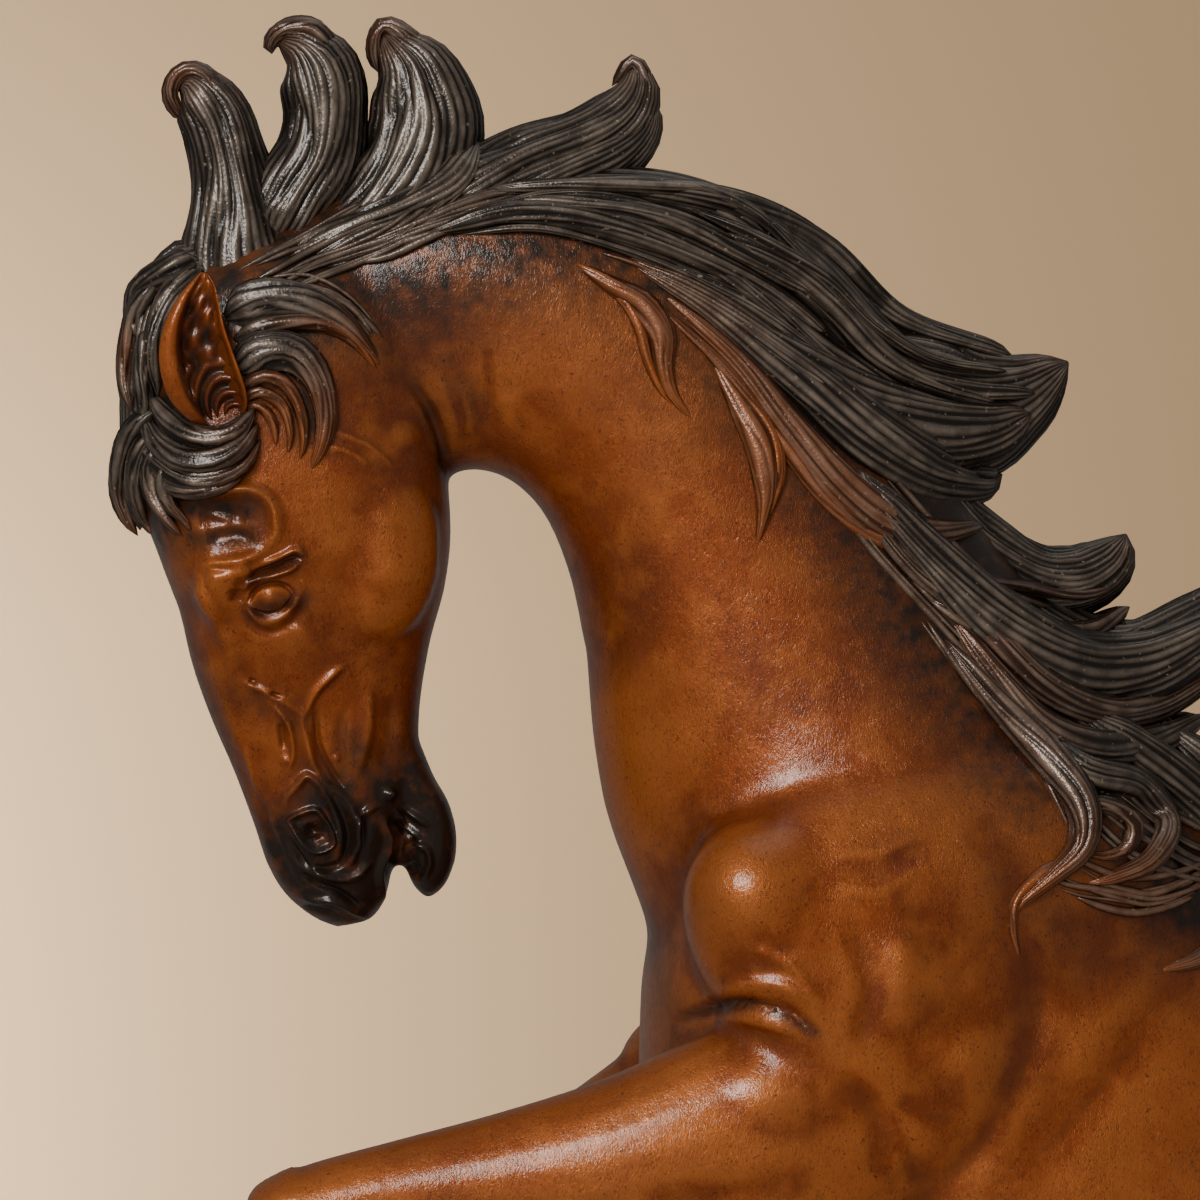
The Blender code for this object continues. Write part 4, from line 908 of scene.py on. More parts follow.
def stroke(columns, rows, radius, height, path, proud=0.0, faded=True):
    """Which places a stroke along a path reaches, and how far it raises each.

    It raises most in its middle, and fades to its sides and, if it is faded, to its ends.
    """
    cs, rs = zip(*path)
    far = STROKE_REACH * radius
    in_columns = (columns > min(cs) - far) & (columns < max(cs) + far)
    near = np.flatnonzero(in_columns & (rows > min(rs) - far) & (rows < max(rs) + far))
    spots = np.stack([columns[near], rows[near]], axis=1)
    line = curve_through(path, 6) if len(path) > 1 else np.asarray([path[0], path[0]], float)
    lengths = np.linalg.norm(np.diff(line, axis=0), axis=1)
    walked = np.concatenate([[0], np.cumsum(lengths)])
    best = np.full(len(near), 1e9)
    share = np.zeros(len(near))
    lean = np.zeros(len(near))
    for i, length in enumerate(lengths):
        along = line[i + 1] - line[i]
        t = np.clip((spots - line[i]) @ along / max(1e-9, length**2), 0, 1)
        off = spots - line[i] - t[:, None] * along
        distance = np.linalg.norm(off, axis=1)
        closer = distance < best
        best = np.where(closer, distance, best)
        share = np.where(closer, (walked[i] + t * length) / max(1e-9, walked[-1]), share)
        leaning = (along[0] * off[:, 1] - along[1] * off[:, 0]) / (max(1e-9, length) * radius)
        lean = np.where(closer, leaning, lean)
    spread = (best / radius) ** 2
    rise = height * np.exp(-STROKE_SHARPNESS * spread) + proud * lean * np.exp(-FOLD_SHARPNESS * spread)
    if faded and len(path) > 1 and path[0] != path[-1]:
        rise *= np.clip(np.minimum(share, 1 - share) / STROKE_END, 0.08, 1) ** 0.7
        rise *= 1 + 0.16 * np.sin(share * walked[-1] / (2.4 * radius) + len(path) + cs[0])
    return near, rise


def facing_eye(points, normals):
    """How squarely points face the eye that looks at their side, from 0 at the rim to 1."""
    side = np.sign(points[:, 1])
    square = -normals[:, 0] * TURN_S + normals[:, 1] * side * TURN_C
    return np.clip(square / 0.35, 0, 1)


def refine(made, low_column, high_column, low_row, high_row):
    """Splits the faces of a part of the figure in four, and rounds them again."""
    low = places(low_column, high_row, 0)
    high = places(high_column, low_row, 0)
    with opened(made) as mesh:
        inside = [
            edge
            for edge in mesh.edges
            if all(low[0] < v.co.x < high[0] and low[2] < v.co.z < high[2] for v in edge.verts)
        ]
        bmesh.ops.subdivide_edges(mesh, edges=inside, cuts=1, use_grid_fill=True)
    points, edges, _ = read_points(made.data)
    touched = ((points > low - 1e-6) & (points < high + 1e-6))[:, [0, 2]].all(axis=1).astype(float)
    move(made.data, relaxed(points, edges, 3, touched))


def sculpt(made, strokes):
    """Raises and cuts the strokes on both sides of the figure."""
    points, _, normals = read_points(made.data)
    columns, rows = seen(points)
    facing = facing_eye(points, normals)
    rise = np.zeros(len(points))
    for one in strokes:
        near, height = stroke(columns, rows, *one)
        rise[near] += height
    points += normals * (rise * facing * SQUARE)[:, None]
    move(made.data, points)


def cut_soles(made):
    """Cuts the hooves off flat where they meet the ground."""
    sole = (0, 0, BASE_HEIGHT + SEAT_GAP)
    with opened(made) as mesh:
        whole = mesh.verts[:] + mesh.edges[:] + mesh.faces[:]
        cut = bmesh.ops.bisect_plane(mesh, geom=whole, plane_co=sole, plane_no=(0, 0, -1), clear_outer=True)
        rim = [edge for edge in cut["geom_cut"] if isinstance(edge, bmesh.types.BMEdge)]
        bmesh.ops.edgeloop_fill(mesh, edges=rim)
        bmesh.ops.triangulate(mesh, faces=[face for face in mesh.faces if len(face.verts) > 4])


def mark_dark_patina_and_shade(made):
    """Stores where the skin is painted dark, as dark patina and as painted shade in creases, and how hollow
    or proud each place is.
    """
    points, edges, normals = read_points(made.data)
    columns, rows = seen(points)
    dark = np.zeros(len(points))
    for radius, strength, path in DARK_STROKES:
        near, height = stroke(columns, rows, radius, strength, path, faded=False)
        dark[near] = np.maximum(dark[near], height)
    hollow = np.einsum("ij,ij->i", relaxed(points, edges, 12) - points, normals) / HOLLOW_DEPTH
    hollow = relaxed(np.clip(hollow, -1, 1), edges, 2)
    store(made.data, "dark", dark)
    store(made.data, "hollow", hollow)


def body_pile():
    """The forms of the barrel, neck base, shoulders and haunches."""
    pile = Pile()
    trunk = [
        (*reared(along, high), *reared(along, low), 0, half_width, widest, squareness)
        for along, low, high, half_width, widest, squareness in TRUNK
    ]
    add_form(pile, trunk, sides=40, steps=6)
    add_form(pile, NECK, sides=32, steps=6)
    for side in (-1, 1):
        add_form(pile, on_side(squared_rows(SCAPULA), side))
        add_form(pile, stepped(THIGH, side))
        add_swellings(pile, MUSCLES, side)
    return pile


def add_fine_forms(pile):
    """Adds the head, the thin of the neck and the legs."""
    add_form(pile, NECK[:THIN_NECK_ROW], sides=36, steps=6)
    add_form(pile, HEAD, sides=40, steps=6)
    add_form(pile, CHIN, steps=6)
    for side in (-1, 1):
        add_swellings(pile, FACE_SWELLINGS, side)
        swing = FAR_FORE_SWING if side > 0 else 0.0
        fold = FAR_FORE_FOLD if side > 0 else 0.0
        add_form(pile, on_side(turned_rows(squared_rows(FOREARM), FORE_ELBOW, -swing), side), steps=6)
        for rows in (CANNON, FORE_HOOF):
            folded = turned_rows(squared_rows(rows), FORE_KNEE, -fold)
            add_form(pile, on_side(turned_rows(folded, FORE_ELBOW, -swing), side), steps=6)
        for rows in (THIGH[THIN_THIGH_ROW:], HIND_CANNON, HIND_HOOF):
            add_form(pile, stepped(rows, side), steps=6)


def add_ear(pile, side):
    """Adds an ear: a leaf with a broad rolled front rim and a hollow full of curls, open to its side. Its
    hollow is painted dark, as patina and painted shade.
    """
    rings = []
    shades = []
    rows = curve_through(EAR, 10)
    half = 36
    across = np.linspace(0, 1, half)
    arch = np.sin(math.pi * across)
    # The hollow lies between the rolled front rim and the thin back edge
    wall = np.clip((across - 0.22) / 0.12, 0, 1) * np.clip((0.97 - across) / 0.08, 0, 1)
    wall = wall**2 * (3 - 2 * wall)
    bead = np.sin(math.pi * np.clip(across / 0.30, 0, 1))
    for i, (left_c, left_r, right_c, right_r, aside, hollow) in enumerate(rows):
        down = i / (len(rows) - 1)
        full = min(1.0, hollow / 16)
        left = np.array(squared(left_c, left_r, aside))
        right = np.array(squared(right_c, right_r, aside))
        away = np.hypot((across - 0.85) * 1.3, (down - 0.86) * 2.2)
        shells = np.sin(34 * away + 1.2 * np.sin(7 * across))
        lumps = np.sin(17 * across + 6 * down) * np.sin(38 * down + 4 * across)
        curls = np.where(down > 0.5, shells, lumps)
        inner = aside + 5 * bead * full - hollow * wall * (0.7 + 0.3 * arch) + 3.6 * curls * wall * full
        outer = aside - 5 - (hollow * 1.25 + 5) * arch
        spread = left + (right - left) * across[:, None]
        front = places(spread[:, 0], spread[:, 1], side * inner)
        back = places(spread[::-1, 0], spread[::-1, 1], side * outer[::-1])
        rings.append(np.vstack([front, back]))
        # Painted shade and patina: the hollow is painted dark and darkest in the troughs of its curls. The
        # back is painted a little dark and the rim lighter.
        deep = (0.75 - 0.3 * curls) * wall * full
        shades.append(np.concatenate([deep, 0.3 * np.ones(half)]))
    shade = np.concatenate(shades)
    pile.add(np.vstack(rings), tube(len(rings), 2 * half), dark=shade, hollow=0.6 * shade - 0.5)


def combed(count, half_breadth, half_thickness, bare, first, last, seed):
    """Rows of thin strands spread between two guides, each a little off its course."""
    first, last = np.asarray(first, float), np.asarray(last, float)
    strands = []
    for i in range(count):
        # The sines of i shift each strand in its course, start, lift and thickness
        share = i / (count - 1)
        path = first + (last - first) * share
        sway = 1.1 * half_breadth * math.sin(2.4 * i + seed)
        start = 0.12 * (1 + math.sin(5.1 * i + seed))
        line = curve_through(path, 4)[int(4 * start * len(path)) :]
        line = curve_through(line[:: max(1, len(line) // 5)], 1)
        s = np.linspace(0, 1, len(line))
        bow = np.sin(math.pi * s)
        line[:, 1] += sway * bow + 0.6 * half_breadth * bow * np.sin(6.5 * s + i)
        lift = 0.4 * half_thickness * math.sin(2.9 * i + seed)
        swell = np.sin(math.pi * np.clip(0.12 + 0.76 * s, 0, 1)) ** 0.6
        thick = 0.8 + 0.3 * math.sin(3.7 * i + 2 * seed)
        rows = zip(*line.T, lift * swell, half_breadth * swell * thick, half_thickness * swell)
        strands.append([(*row, bare) for row in rows])
    return strands


class Cover:
    """The surface that locks are laid on, felt from the side."""

    def __init__(self, *pieces):
        mesh = bmesh.new()
        for piece in pieces:
            mesh.from_mesh(piece.data)
        self.tree = BVHTree.FromBMesh(mesh)
        mesh.free()

    def aside(self, column, row):
        """How far the near side's surface lies from the middle plane at a place given as the eye sees it."""
        aside = FIRST_ASIDE
        for _ in range(4):
            x, _, z = places(*squared(column, row, aside), 0)
            hit = self.tree.ray_cast(Vector((x, -FEELER_START, z)), Vector((0, 1, 0)))[0]
            if hit is None or hit.y > 0:
                return None
            aside = -hit.y / SQUARE
        return aside

    def laid(self, rows):
        """A lock's rows with their lifts turned into asides."""
        path = curve_through(rows, 5)
        found = [self.aside(column, row) for column, row in path[:, :2]]
        known = [i for i, aside in enumerate(found) if aside is not None]
        if not known:
            return path
        asides = np.interp(np.arange(len(path)), known, [found[i] for i in known])
        beyond = np.array([min(abs(i - k) for k in known) for i in range(len(path))])
        asides = np.maximum(0, asides - SINKING * beyond)
        for _ in range(4):
            asides[1:-1] = 0.5 * asides[1:-1] + 0.25 * (asides[:-2] + asides[2:])
        path[:, 2] = np.maximum(0, asides + path[:, 2])
        return path


def add_lock(pile, rows, side, seed, form, fine=1.0):
    """Adds a lock of hair: a flattened tube along a curve, modelled with strands that run to its tip.

    The higher fine is, the more strands it has. A lock that is fine 0 is one strand.
    """
    path = np.array([(*squared(c, r, a), side * a, b, t, w) for c, r, a, b, t, w in curve_through(rows, 8)])
    middle = places(path[:, 0], path[:, 1], path[:, 2])
    walk = np.concatenate([[0], np.cumsum(np.linalg.norm(np.diff(middle, axis=0), axis=1))])
    rings = int(np.clip(walk[-1] / form.step, *LOCK_RINGS))
    even = np.linspace(0, walk[-1], rings)
    middle = np.stack([np.interp(even, walk, middle[:, k]) for k in range(3)], axis=1)
    breadth, thickness, worn = (np.interp(even, walk, path[:, k]) for k in (3, 4, 5))
    s = np.linspace(0, 1, rings)
    tip = np.sqrt(np.clip(1 - ((s - TIP_START) / TIP_LENGTH).clip(0, 1) ** 2, 0.02, 1))
    root = ROOT_BREADTH + (1 - ROOT_BREADTH) * np.clip(s / ROOT_LENGTH, 0, 1) ** 0.7
    breadth, thickness = breadth * tip * root * SQUARE, thickness * tip * root * SQUARE
    ahead = np.gradient(middle, axis=0)
    ahead /= np.maximum(1e-12, np.linalg.norm(ahead, axis=1))[:, None]
    broad = np.cross(ahead, [0.0, 1.0, 0.0])
    broad /= np.maximum(1e-12, np.linalg.norm(broad, axis=1))[:, None]
    thick = np.cross(broad, ahead)
    girth = math.tau * math.sqrt((breadth.max() ** 2 + thickness.max() ** 2) / 2)
    strands = int(np.clip(girth * fine / form.pitch, *LOCK_STRANDS)) if fine else 2
    around = 4 * strands
    q = np.arange(around) / around
    s = s[:, None]
    if fine:
        # The strands wander, gather in bundles and vary in depth, in each lock otherwise
        wander = 0.42 * np.sin(math.tau * (2 * q + 0.8 * s + 0.37 * seed))
        wander = wander + 0.22 * np.sin(math.tau * (5 * q - 1.4 * s + 0.71 * seed))
        strand = np.abs(np.cos(math.pi * (strands * q + wander)))
        bundles = max(2, round(strands / BUNDLED))
        bundle = np.abs(np.cos(math.pi * (bundles * q + 0.9 * wander + 0.3 * seed)))
        uneven = 0.8 + 0.35 * np.sin(math.tau * (3 * q + 1.7 * s + 0.53 * seed))
        slim = np.sqrt(breadth * thickness)[:, None]
        deep = np.clip(0.13 * slim, 0, 2.2 * form.depth)
        relief = form.depth * uneven * np.clip(slim / (4 * form.depth), 0.05, 1) * (strand**0.6 - 0.7)
        relief += deep * (bundle**0.7 - 0.7)
        shade = 0.65 * strand + 0.35 * bundle
    else:
        relief = np.zeros((rings, around))
        shade = relief + 0.15 + 0.75 * np.abs(np.sin(math.tau * q))
    angle = math.tau * q
    points = (
        middle[:, None, :]
        + broad[:, None, :] * ((breadth[:, None] + relief) * np.cos(angle))[..., None]
        + thick[:, None, :] * ((thickness[:, None] + relief) * np.sin(angle))[..., None]
    )
    # The ridge shading is painted shade: dark in the grooves between strands and bundles and at the lock's
    # edges, where it meets other locks, and light along its raised strands
    pile.add(
        points.reshape(-1, 3),
        tube(rings, around),
        ridge=(shade * (0.4 + 0.6 * np.abs(np.sin(angle)) ** 0.7)).ravel(),
        warm=np.broadcast_to(np.clip(worn, 0, 1)[:, None], relief.shape).ravel(),
    )


def fill_inputs(tree, node, inputs):
    """Gives a shader node its input values and the links into it."""
    for name, value in inputs.items():
        if isinstance(value, bpy.types.NodeSocket):
            tree.links.new(value, node.inputs[name])
        else:
            node.inputs[name].default_value = value


def add_node(tree, kind, inputs=None, **settings):
    """A new shader node with its settings, its input values and the links into it."""
    made = tree.nodes.new(kind)
    for name, value in settings.items():
        setattr(made, name, value)
    fill_inputs(tree, made, inputs or {})
    return made


def new_material(name):
    """A material with a node tree, the tree and its surface shader."""
    material = bpy.data.materials.new(name)
    material.use_nodes = True
    return material, material.node_tree, material.node_tree.nodes["Principled BSDF"]


def grain(tree, cell, detail, stretch=(1, 1, 1), turn=(0.3, 0.2, 0.1), wavy=0.0):
    """Noise in the object's own space: the size of its cells in metres, stretched, turned and made wavy."""
    own_space = add_node(tree, "ShaderNodeTexCoord").outputs["Object"]
    scale = [1 / (cell * part) for part in stretch]
    mapping = add_node(tree, "ShaderNodeMapping", {"Vector": own_space, "Rotation": turn, "Scale": scale})
    noise_inputs = {"Vector": mapping.outputs["Vector"], "Scale": 1.0, "Detail": detail, "Distortion": wavy}
    return add_node(tree, "ShaderNodeTexNoise", noise_inputs).outputs["Fac"]


def ranged(tree, value, low, high, out_low=0.0, out_high=1.0):
    """A value taken from one range to another, held at its ends."""
    inputs = {0: value, 1: low, 2: high, 3: out_low, 4: out_high}
    return add_node(tree, "ShaderNodeMapRange", inputs).outputs[0]


def blended(tree, share, first, second):
    """Two colours blended by a share."""
    return add_node(tree, "ShaderNodeMix", {0: share, 6: first, 7: second}, data_type="RGBA").outputs[2]


def worked(tree, way, *values):
    """The result of simple arithmetic on values."""
    return add_node(tree, "ShaderNodeMath", dict(enumerate(values)), operation=way).outputs[0]


def stored(tree, name):
    """A value stored on the mesh."""
    return add_node(tree, "ShaderNodeAttribute", attribute_name=name).outputs["Fac"]


def patinated_bronze_skin():
    """Cast bronze under a waxed red-brown patina: mottled, with short tooled hairs, painted darker in its
    hollows and creases, as patina and painted shade, and rubbed lighter on its proud places.
    """
    material, tree, shader = new_material("patinated bronze, red-brown")
    broad = grain(tree, 0.018, 3.0)
    middle = grain(tree, 0.005, 3.0)
    small = grain(tree, 0.0020, 4.0)
    specks = grain(tree, 0.0006, 2.0)
    hairs_a = grain(tree, 0.00042, 2.0, (1, 1, 2.0), (0.0, 0.75, 0.0), 2.0)
    hairs_b = grain(tree, 0.00042, 2.0, (1, 1, 2.0), (0.0, -0.9, 0.3), 2.0)
    swap = ranged(tree, grain(tree, 0.006, 1.0, turn=(0.2, 0.0, 0.7)), 0.42, 0.58)
    hairs = add_node(tree, "ShaderNodeMix", {0: swap, 2: hairs_a, 3: hairs_b}, data_type="FLOAT").outputs[0]
    hollow = stored(tree, "hollow")
    body = blended(tree, ranged(tree, broad, 0.38, 0.62), linear(SKIN_BROWN), linear(SKIN_RED))
    for value, low, high, share in (
        (middle, 0.46, 0.72, 0.6),
        (hairs, 0.56, 0.74, 0.4),
        (hollow, -0.15, -0.9, 0.7),
    ):
        body = blended(tree, ranged(tree, value, low, high, 0.0, share), body, linear(SKIN_LIGHT))
    patch = ranged(tree, small, 0.34, 0.62, 0.0, 0.3)
    # The shade darkens the body with mottled patches, the grooves between tooled hairs and dark specks. It
    # also darkens hollows and creases, as patina and painted shade.
    shade = worked(tree, "MULTIPLY", ranged(tree, broad, 0.50, 0.72), patch)
    for value, low, high, share in (
        (hollow, 0.15, 0.95, 0.38),
        (hairs, 0.48, 0.28, 0.6),
        (specks, 0.67, 0.73, 0.7),
    ):
        shade = worked(tree, "MAXIMUM", shade, ranged(tree, value, low, high, 0.0, share))
    body = blended(tree, shade, body, linear(SKIN_SHADE))
    # Dark patina, and painted shade in the creases, from the dark strokes laid over the skin's colour
    dark = worked(tree, "MULTIPLY", stored(tree, "dark"), ranged(tree, small, 0.3, 0.7, 0.65, 1.1))
    dark = add_node(tree, "ShaderNodeClamp", {0: dark}).outputs[0]
    relief = worked(tree, "MULTIPLY_ADD", hairs, 0.9, worked(tree, "MULTIPLY", specks, 0.3))
    relief = worked(tree, "MULTIPLY_ADD", small, 0.9, relief)
    cast = add_node(tree, "ShaderNodeBump", {"Height": relief, "Strength": 0.5, "Distance": 0.00018})
    wax = add_node(tree, "ShaderNodeBump", {"Height": relief, "Strength": 0.5, "Distance": 0.00009})
    surface = {
        "Base Color": blended(tree, dark, body, linear(SKIN_DARK)),
        "Roughness": ranged(tree, small, 0.3, 0.7, 0.36, 0.50),
        "Metallic": 0.6,
        "Specular IOR Level": 0.25,
        "Coat Weight": 0.7,
        "Coat Roughness": 0.12,
        "Normal": cast.outputs["Normal"],
        "Coat Normal": wax.outputs["Normal"],
    }
    fill_inputs(tree, shader, surface)
    return material


def patinated_bronze_hair(name, rubbing):
    """Cast bronze under a near-black patina, rubbed grey-brown along its strands and bare at some tips, with
    painted shade in the grooves between strands and where locks meet.
    """
    material, tree, shader = new_material(name)
    small = grain(tree, 0.003, 4.0)
    fine = grain(tree, 0.0004, 2.0)
    dust_and_glints = grain(tree, 0.0007, 1.0)
    ridge = stored(tree, "ridge")
    warm = stored(tree, "warm")
    # Painted shade: the grooves and lock edges stay near-black, and the raised strands are rubbed grey-brown
    rubbed = ranged(tree, ridge, 0.40, 0.95, 0.0, rubbing)
    worn = worked(tree, "MULTIPLY", rubbed, ranged(tree, small, 0.34, 0.62, 0.4))
    body = blended(tree, worn, linear(HAIR_DARK), linear(HAIR_BROWN))
    bare = worked(tree, "MULTIPLY", warm, ranged(tree, ridge, 0.2, 0.9, 0.2, 1.0))
    body = blended(tree, bare, body, linear(HAIR_RUBBED))
    # Pale specks: dust, and painted glints on the tiny bumps of the strands
    body = blended(tree, ranged(tree, dust_and_glints, 0.70, 0.76, 0.0, 0.5), body, linear(HAIR_DUST_AND_GLINT))
    cast = add_node(tree, "ShaderNodeBump", {"Height": fine, "Strength": 0.5, "Distance": 0.00014})
    surface = {
        "Base Color": body,
        "Roughness": ranged(tree, small, 0.3, 0.7, 0.28, 0.40),
        "Metallic": 0.5,
        "Coat Weight": 0.45,
        "Coat Roughness": 0.13,
        "Normal": cast.outputs["Normal"],
        "Coat Normal": cast.outputs["Normal"],
    }
    fill_inputs(tree, shader, surface)
    return material


def studio_paper():
    """Seamless studio paper, pale beige and matt."""
    material, tree, shader = new_material("studio paper")
    surface = {"Base Color": linear(WALL_BEIGE), "Roughness": 0.9, "Specular IOR Level": 0.1}
    fill_inputs(tree, shader, surface)
    return material


def finish_piece(made, node, material):
    """Gives a finished piece its material and its place in the frame."""
    made.data.materials.clear()
    made.data.materials.append(material)
    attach(made, "root")
    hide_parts(node)


class HORSE_OT_skin(bpy.types.Operator):
    """Builds the horse's skin from its forms and models the details into it"""

    bl_idname = "horse.skin"
    bl_label = "Skin"

    def execute(self, context):
        form = context.scene.horse_skin
        made = body_pile().make("skin")
        merge_forms(made, form.body_cell, form.rounding)
        pile = Pile()
        add_fine_forms(pile)
        limbs = pile.make("limbs")
        with opened(made) as mesh:
            mesh.from_mesh(limbs.data)
        bpy.data.objects.remove(limbs)
        merge_forms(made, form.cell, FINE_ROUNDING)
        for window in FINE_WINDOWS:
            refine(made, *window)
        sculpt(made, FACE_STROKES + BODY_STROKES + LOWER_STROKES)
        cut_soles(made)
        thin = made.modifiers.new("thin", "DECIMATE")
        made.data.calc_loop_triangles()
        thin.ratio = min(1.0, form.faces / len(made.data.loop_triangles))
        apply_modifiers(made)
        made.data.shade_smooth()
        mark_dark_patina_and_shade(made)
        finish_piece(made, "horse", patinated_bronze_skin())
        return {"FINISHED"}


class HORSE_OT_ears(bpy.types.Operator):
    """Builds the two ears"""

    bl_idname = "horse.ears"
    bl_label = "Ears"

    def execute(self, context):
        pile = Pile()
        for side in (-1, 1):
            add_ear(pile, side)
        made = pile.make("ears")
        finish_piece(made, "horse", bpy.data.objects["skin"].data.materials[0])
        return {"FINISHED"}


class HORSE_OT_mane(bpy.types.Operator):
    """Builds the mane and the forelock, lock by lock"""

    bl_idname = "horse.mane"
    bl_label = "Mane"

    def execute(self, context):
        form = context.scene.horse_hair
        hair = patinated_bronze_hair("patinated bronze, near-black", MANE_RUBBING)
        pile = Pile()
        for seed, rows in enumerate([*CREST_LOCKS, FORELOCK_HEART]):
            add_lock(pile, filled(rows, in_middle=True), 1, seed, form)
        crest = pile.make("mane_crest")
        finish_piece(crest, "horse", hair)
        bed = Cover(bpy.data.objects["skin"])
        cover = Cover(bpy.data.objects["skin"], crest)
        laid = [bed.laid(rows) for i, comb in enumerate(COMBED) for rows in combed(*comb, i)]
        thin = len(laid)
        for i, comb in enumerate(SWEPT):
            laid += [cover.laid(rows) for rows in combed(*comb, i + SWEPT_SEED)]
        laid += [cover.laid(filled(rows)) for rows in SIDE_LOCKS + FORELOCK]
        for side, name in ((-1, "mane_left"), (1, "mane_right")):
            pile = Pile()
            for seed, rows in enumerate(laid):
                add_lock(pile, rows, side, seed + SIDE_SEED, form, 0 if seed < thin else MANE_FINENESS)
            finish_piece(pile.make(name), "horse", hair)
        return {"FINISHED"}


class HORSE_OT_tail(bpy.types.Operator):
    """Builds the tail"""

    bl_idname = "horse.tail"
    bl_label = "Tail"

    def execute(self, context):
        form = context.scene.horse_hair
        pile = Pile()
        for seed, rows in enumerate(TAIL):
            add_lock(pile, filled(rows), 1, seed + TAIL_SEED, form, TAIL_FINENESS)
        made = pile.make("tail")
        finish_piece(made, "horse", bpy.data.objects["mane_crest"].data.materials[0])
        return {"FINISHED"}


class HORSE_OT_base(bpy.types.Operator):
    """Builds the low bronze ground with its modelled earth"""

    bl_idname = "horse.base"
    bl_label = "Base"

    def execute(self, context):
        form = context.scene.horse_base
        angles = math.tau * np.arange(BASE_AROUND) / BASE_AROUND
        along, across = swollen(angles, BASE_SQUARENESS)
        outline = np.stack([along * form.along / 2, across * form.across / 2], axis=1)
        steps = [(0.0, 0.0)]
        for rise in np.linspace(0.06, 1, 14):
            steps.append((0.0, rise * (BASE_HEIGHT - form.edge)))
        for angle in np.linspace(0, math.pi / 2, 9)[1:]:
            inset = form.edge * (1 - math.cos(angle))
            steps.append((inset, BASE_HEIGHT - form.edge * (1 - math.sin(angle))))
        rings = []
        for inset, height in steps:
            shrink = 1 - 2 * inset / np.array([form.along, form.across])
            rings.append(np.column_stack([outline * shrink, np.full(BASE_AROUND, height)]))
        top = rings[-1]
        for share in np.linspace(1, 0.02, 46)[1:]:
            rings.append(np.column_stack([top[:, :2] * share, top[:, 2]]))
        points = np.vstack(rings)
        ridge = np.zeros(len(points))
        for i, (x, y, z) in enumerate(points):
            swell = noise.fractal(Vector((x, y, z)) / EARTH_LUMP, 0.9, 2.2, 4)
            # The lumps also set the ridge shading: the earth's dips are painted darker, as patina and painted
            # shade, and its lumps are rubbed lighter
            ridge[i] = np.clip(0.5 + 0.9 * swell, 0, 1)
            if z < 1e-9:
                continue
            column, aside = x / SQUARE + MIDDLE_COLUMN, y / SQUARE
            hold = max(
                np.clip(1.6 - math.hypot(column - flat_c, aside - flat_a) / reach, 0, 1)
                for flat_c, flat_a, reach in FLAT_PLACES
            )
            if z > BASE_HEIGHT - 1e-6:
                points[i, 2] -= form.relief * (1 - hold) * np.clip(0.55 - 1.1 * swell, 0, 1)
            else:
                points[i, :2] *= 1 - 0.004 * np.clip(1 + swell, 0, 2)
        pile = Pile()
        pile.add(points, tube(len(rings), BASE_AROUND), ridge=ridge, warm=np.zeros(len(points)))
        made = pile.make("ground")
        material = patinated_bronze_hair("patinated bronze, brown-black", BASE_RUBBING)
        finish_piece(made, "base", material)
        return {"FINISHED"}


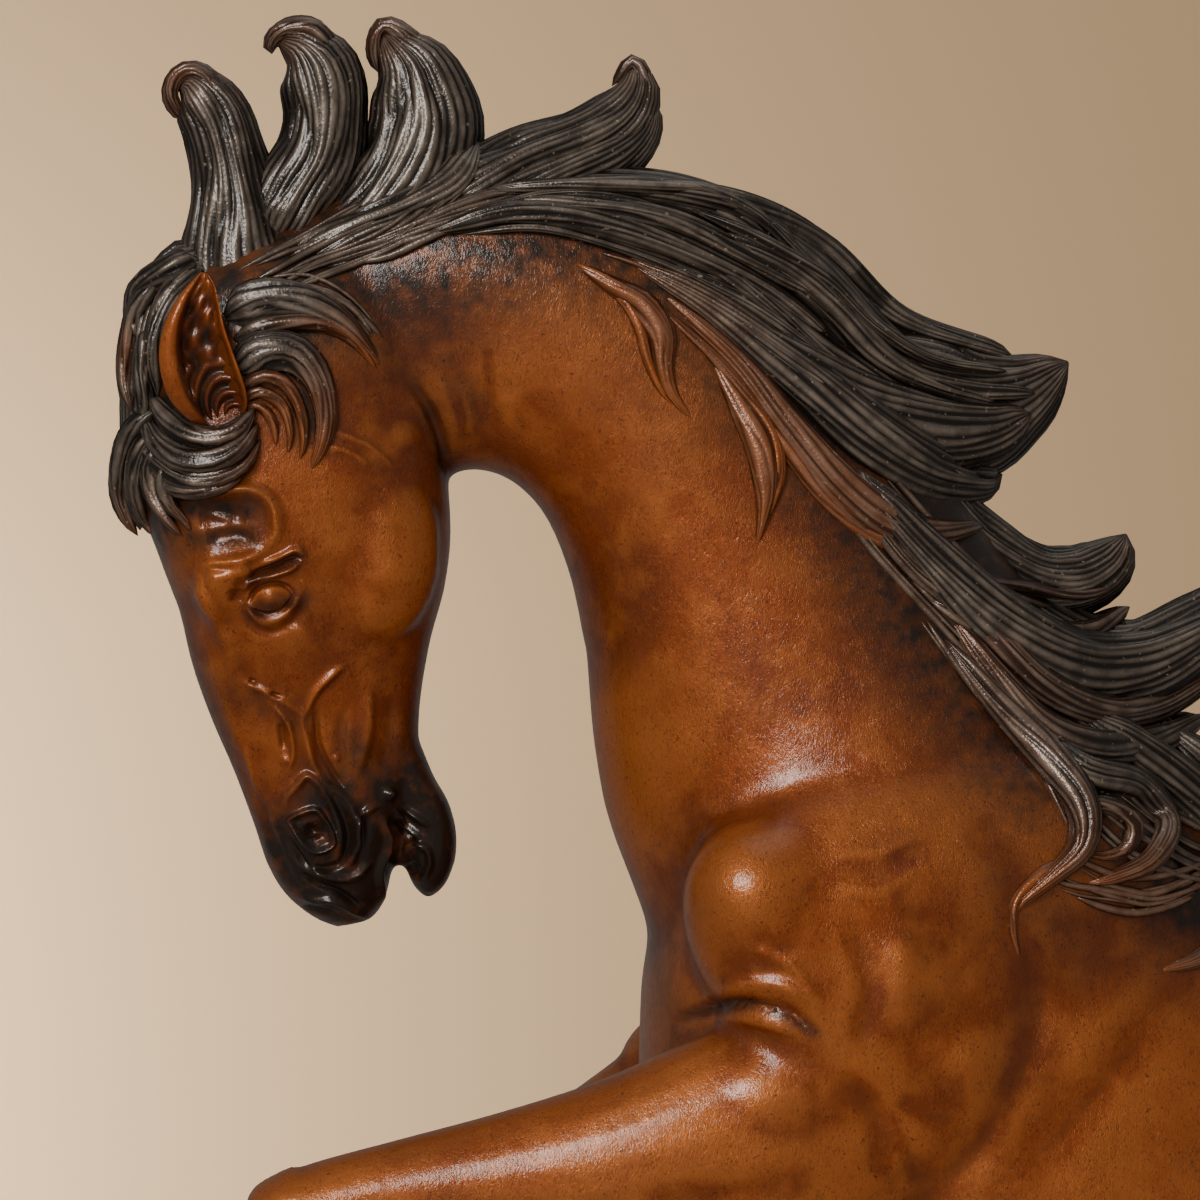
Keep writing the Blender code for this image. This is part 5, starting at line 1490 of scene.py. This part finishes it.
class HORSE_OT_studio(bpy.types.Operator):
    """Sets the paper sweep, the soft lights and the camera"""

    bl_idname = "horse.studio"
    bl_label = "Studio"

    def execute(self, context):
        scene = context.scene
        profile = []
        for bend in np.linspace(0, math.pi / 2, 14):
            back = STRIP_BACK - STRIP_BEND + STRIP_BEND * math.sin(bend)
            profile.append((back, STRIP_BEND * (1 - math.cos(bend))))
        profile.append((STRIP_BACK, STRIP_TOP))
        points = [(x, y, z) for y, z in profile for x in STRIP_SIDES]
        faces = [(2 * i, 2 * i + 1, 2 * i + 3, 2 * i + 2) for i in range(len(profile) - 1)]
        faces.append(tuple(range(len(points), len(points) + 4)))
        x, y = FLOOR_SIDE, FLOOR_FRONT
        points += [(-x, -y, 0), (x, -y, 0), (x, y, 0), (-x, y, 0)]
        data = bpy.data.meshes.new("sweep")
        data.from_pydata(points, [], faces)
        data.shade_smooth()
        data.materials.append(studio_paper())
        sweep = bpy.data.objects.new("sweep", data)
        sweep.visible_glossy = False
        scene.collection.objects.link(sweep)
        middle = Vector(places(*VIEW_MIDDLE, 0))
        for name, spot, aim, size, power, glossy in LAMPS:
            lamp = bpy.data.lights.new(name, "AREA")
            lamp.size = size
            lamp.energy = power
            lamp.color = LAMP_COLOUR
            light = bpy.data.objects.new(name, lamp)
            light.location = spot
            light.rotation_euler = (Vector(aim or middle) - Vector(spot)).to_track_quat("-Z", "Y").to_euler()
            light.visible_glossy = glossy
            scene.collection.objects.link(light)
        world = bpy.data.worlds.new("room")
        world.use_nodes = True
        background = world.node_tree.nodes["Background"]
        fill_inputs(world.node_tree, background, {"Color": ROOM_COLOUR, "Strength": ROOM_STRENGTH})
        scene.world = world
        lens = bpy.data.cameras.new("camera")
        lens.sensor_width = SENSOR_WIDTH
        lens.lens = SENSOR_WIDTH * VIEW_DISTANCE / (PICTURE_SQUARES * SQUARE)
        camera = bpy.data.objects.new("camera", lens)
        camera.location = middle - VIEW_DISTANCE * Vector((TURN_S, TURN_C, 0))
        camera.rotation_euler = (middle - camera.location).to_track_quat("-Z", "Y").to_euler()
        scene.collection.objects.link(camera)
        scene.camera = camera
        return {"FINISHED"}


class HORSE_PT_panel(bpy.types.Panel):
    """Lists the pieces in the order in which they are built"""

    bl_idname = "HORSE_PT_panel"
    bl_label = "Horse"
    bl_space_type = "VIEW_3D"
    bl_region_type = "UI"
    bl_category = "Horse"

    def draw(self, context):
        """Lists the sizes, then the operators."""
        for name, _ in GROUPS:
            group = getattr(context.scene, name)
            for size in group.__annotations__:
                self.layout.prop(group, size)
        for step in STEPS:
            self.layout.operator(step.bl_idname)


STEPS = (HORSE_OT_skin, HORSE_OT_ears, HORSE_OT_mane, HORSE_OT_tail, HORSE_OT_base, HORSE_OT_studio)
GROUPS = (("horse_skin", HorseSkin), ("horse_hair", HorseHair), ("horse_base", HorseBase))


def register():
    """Adds the add-on's sizes, operators and panel."""
    for name, group in GROUPS:
        bpy.utils.register_class(group)
        setattr(bpy.types.Scene, name, PointerProperty(type=group))
    for step in (*STEPS, HORSE_PT_panel):
        bpy.utils.register_class(step)


def unregister():
    """Takes away what register adds, in reverse."""
    for step in reversed((*STEPS, HORSE_PT_panel)):
        bpy.utils.unregister_class(step)
    for name, group in GROUPS:
        delattr(bpy.types.Scene, name)
        bpy.utils.unregister_class(group)


def main():
    """Builds every piece."""
    register()
    bpy.ops.horse.skin()
    bpy.ops.horse.ears()
    bpy.ops.horse.mane()
    bpy.ops.horse.tail()
    bpy.ops.horse.base()
    bpy.ops.horse.studio()


if __name__ == "__main__":
    main()
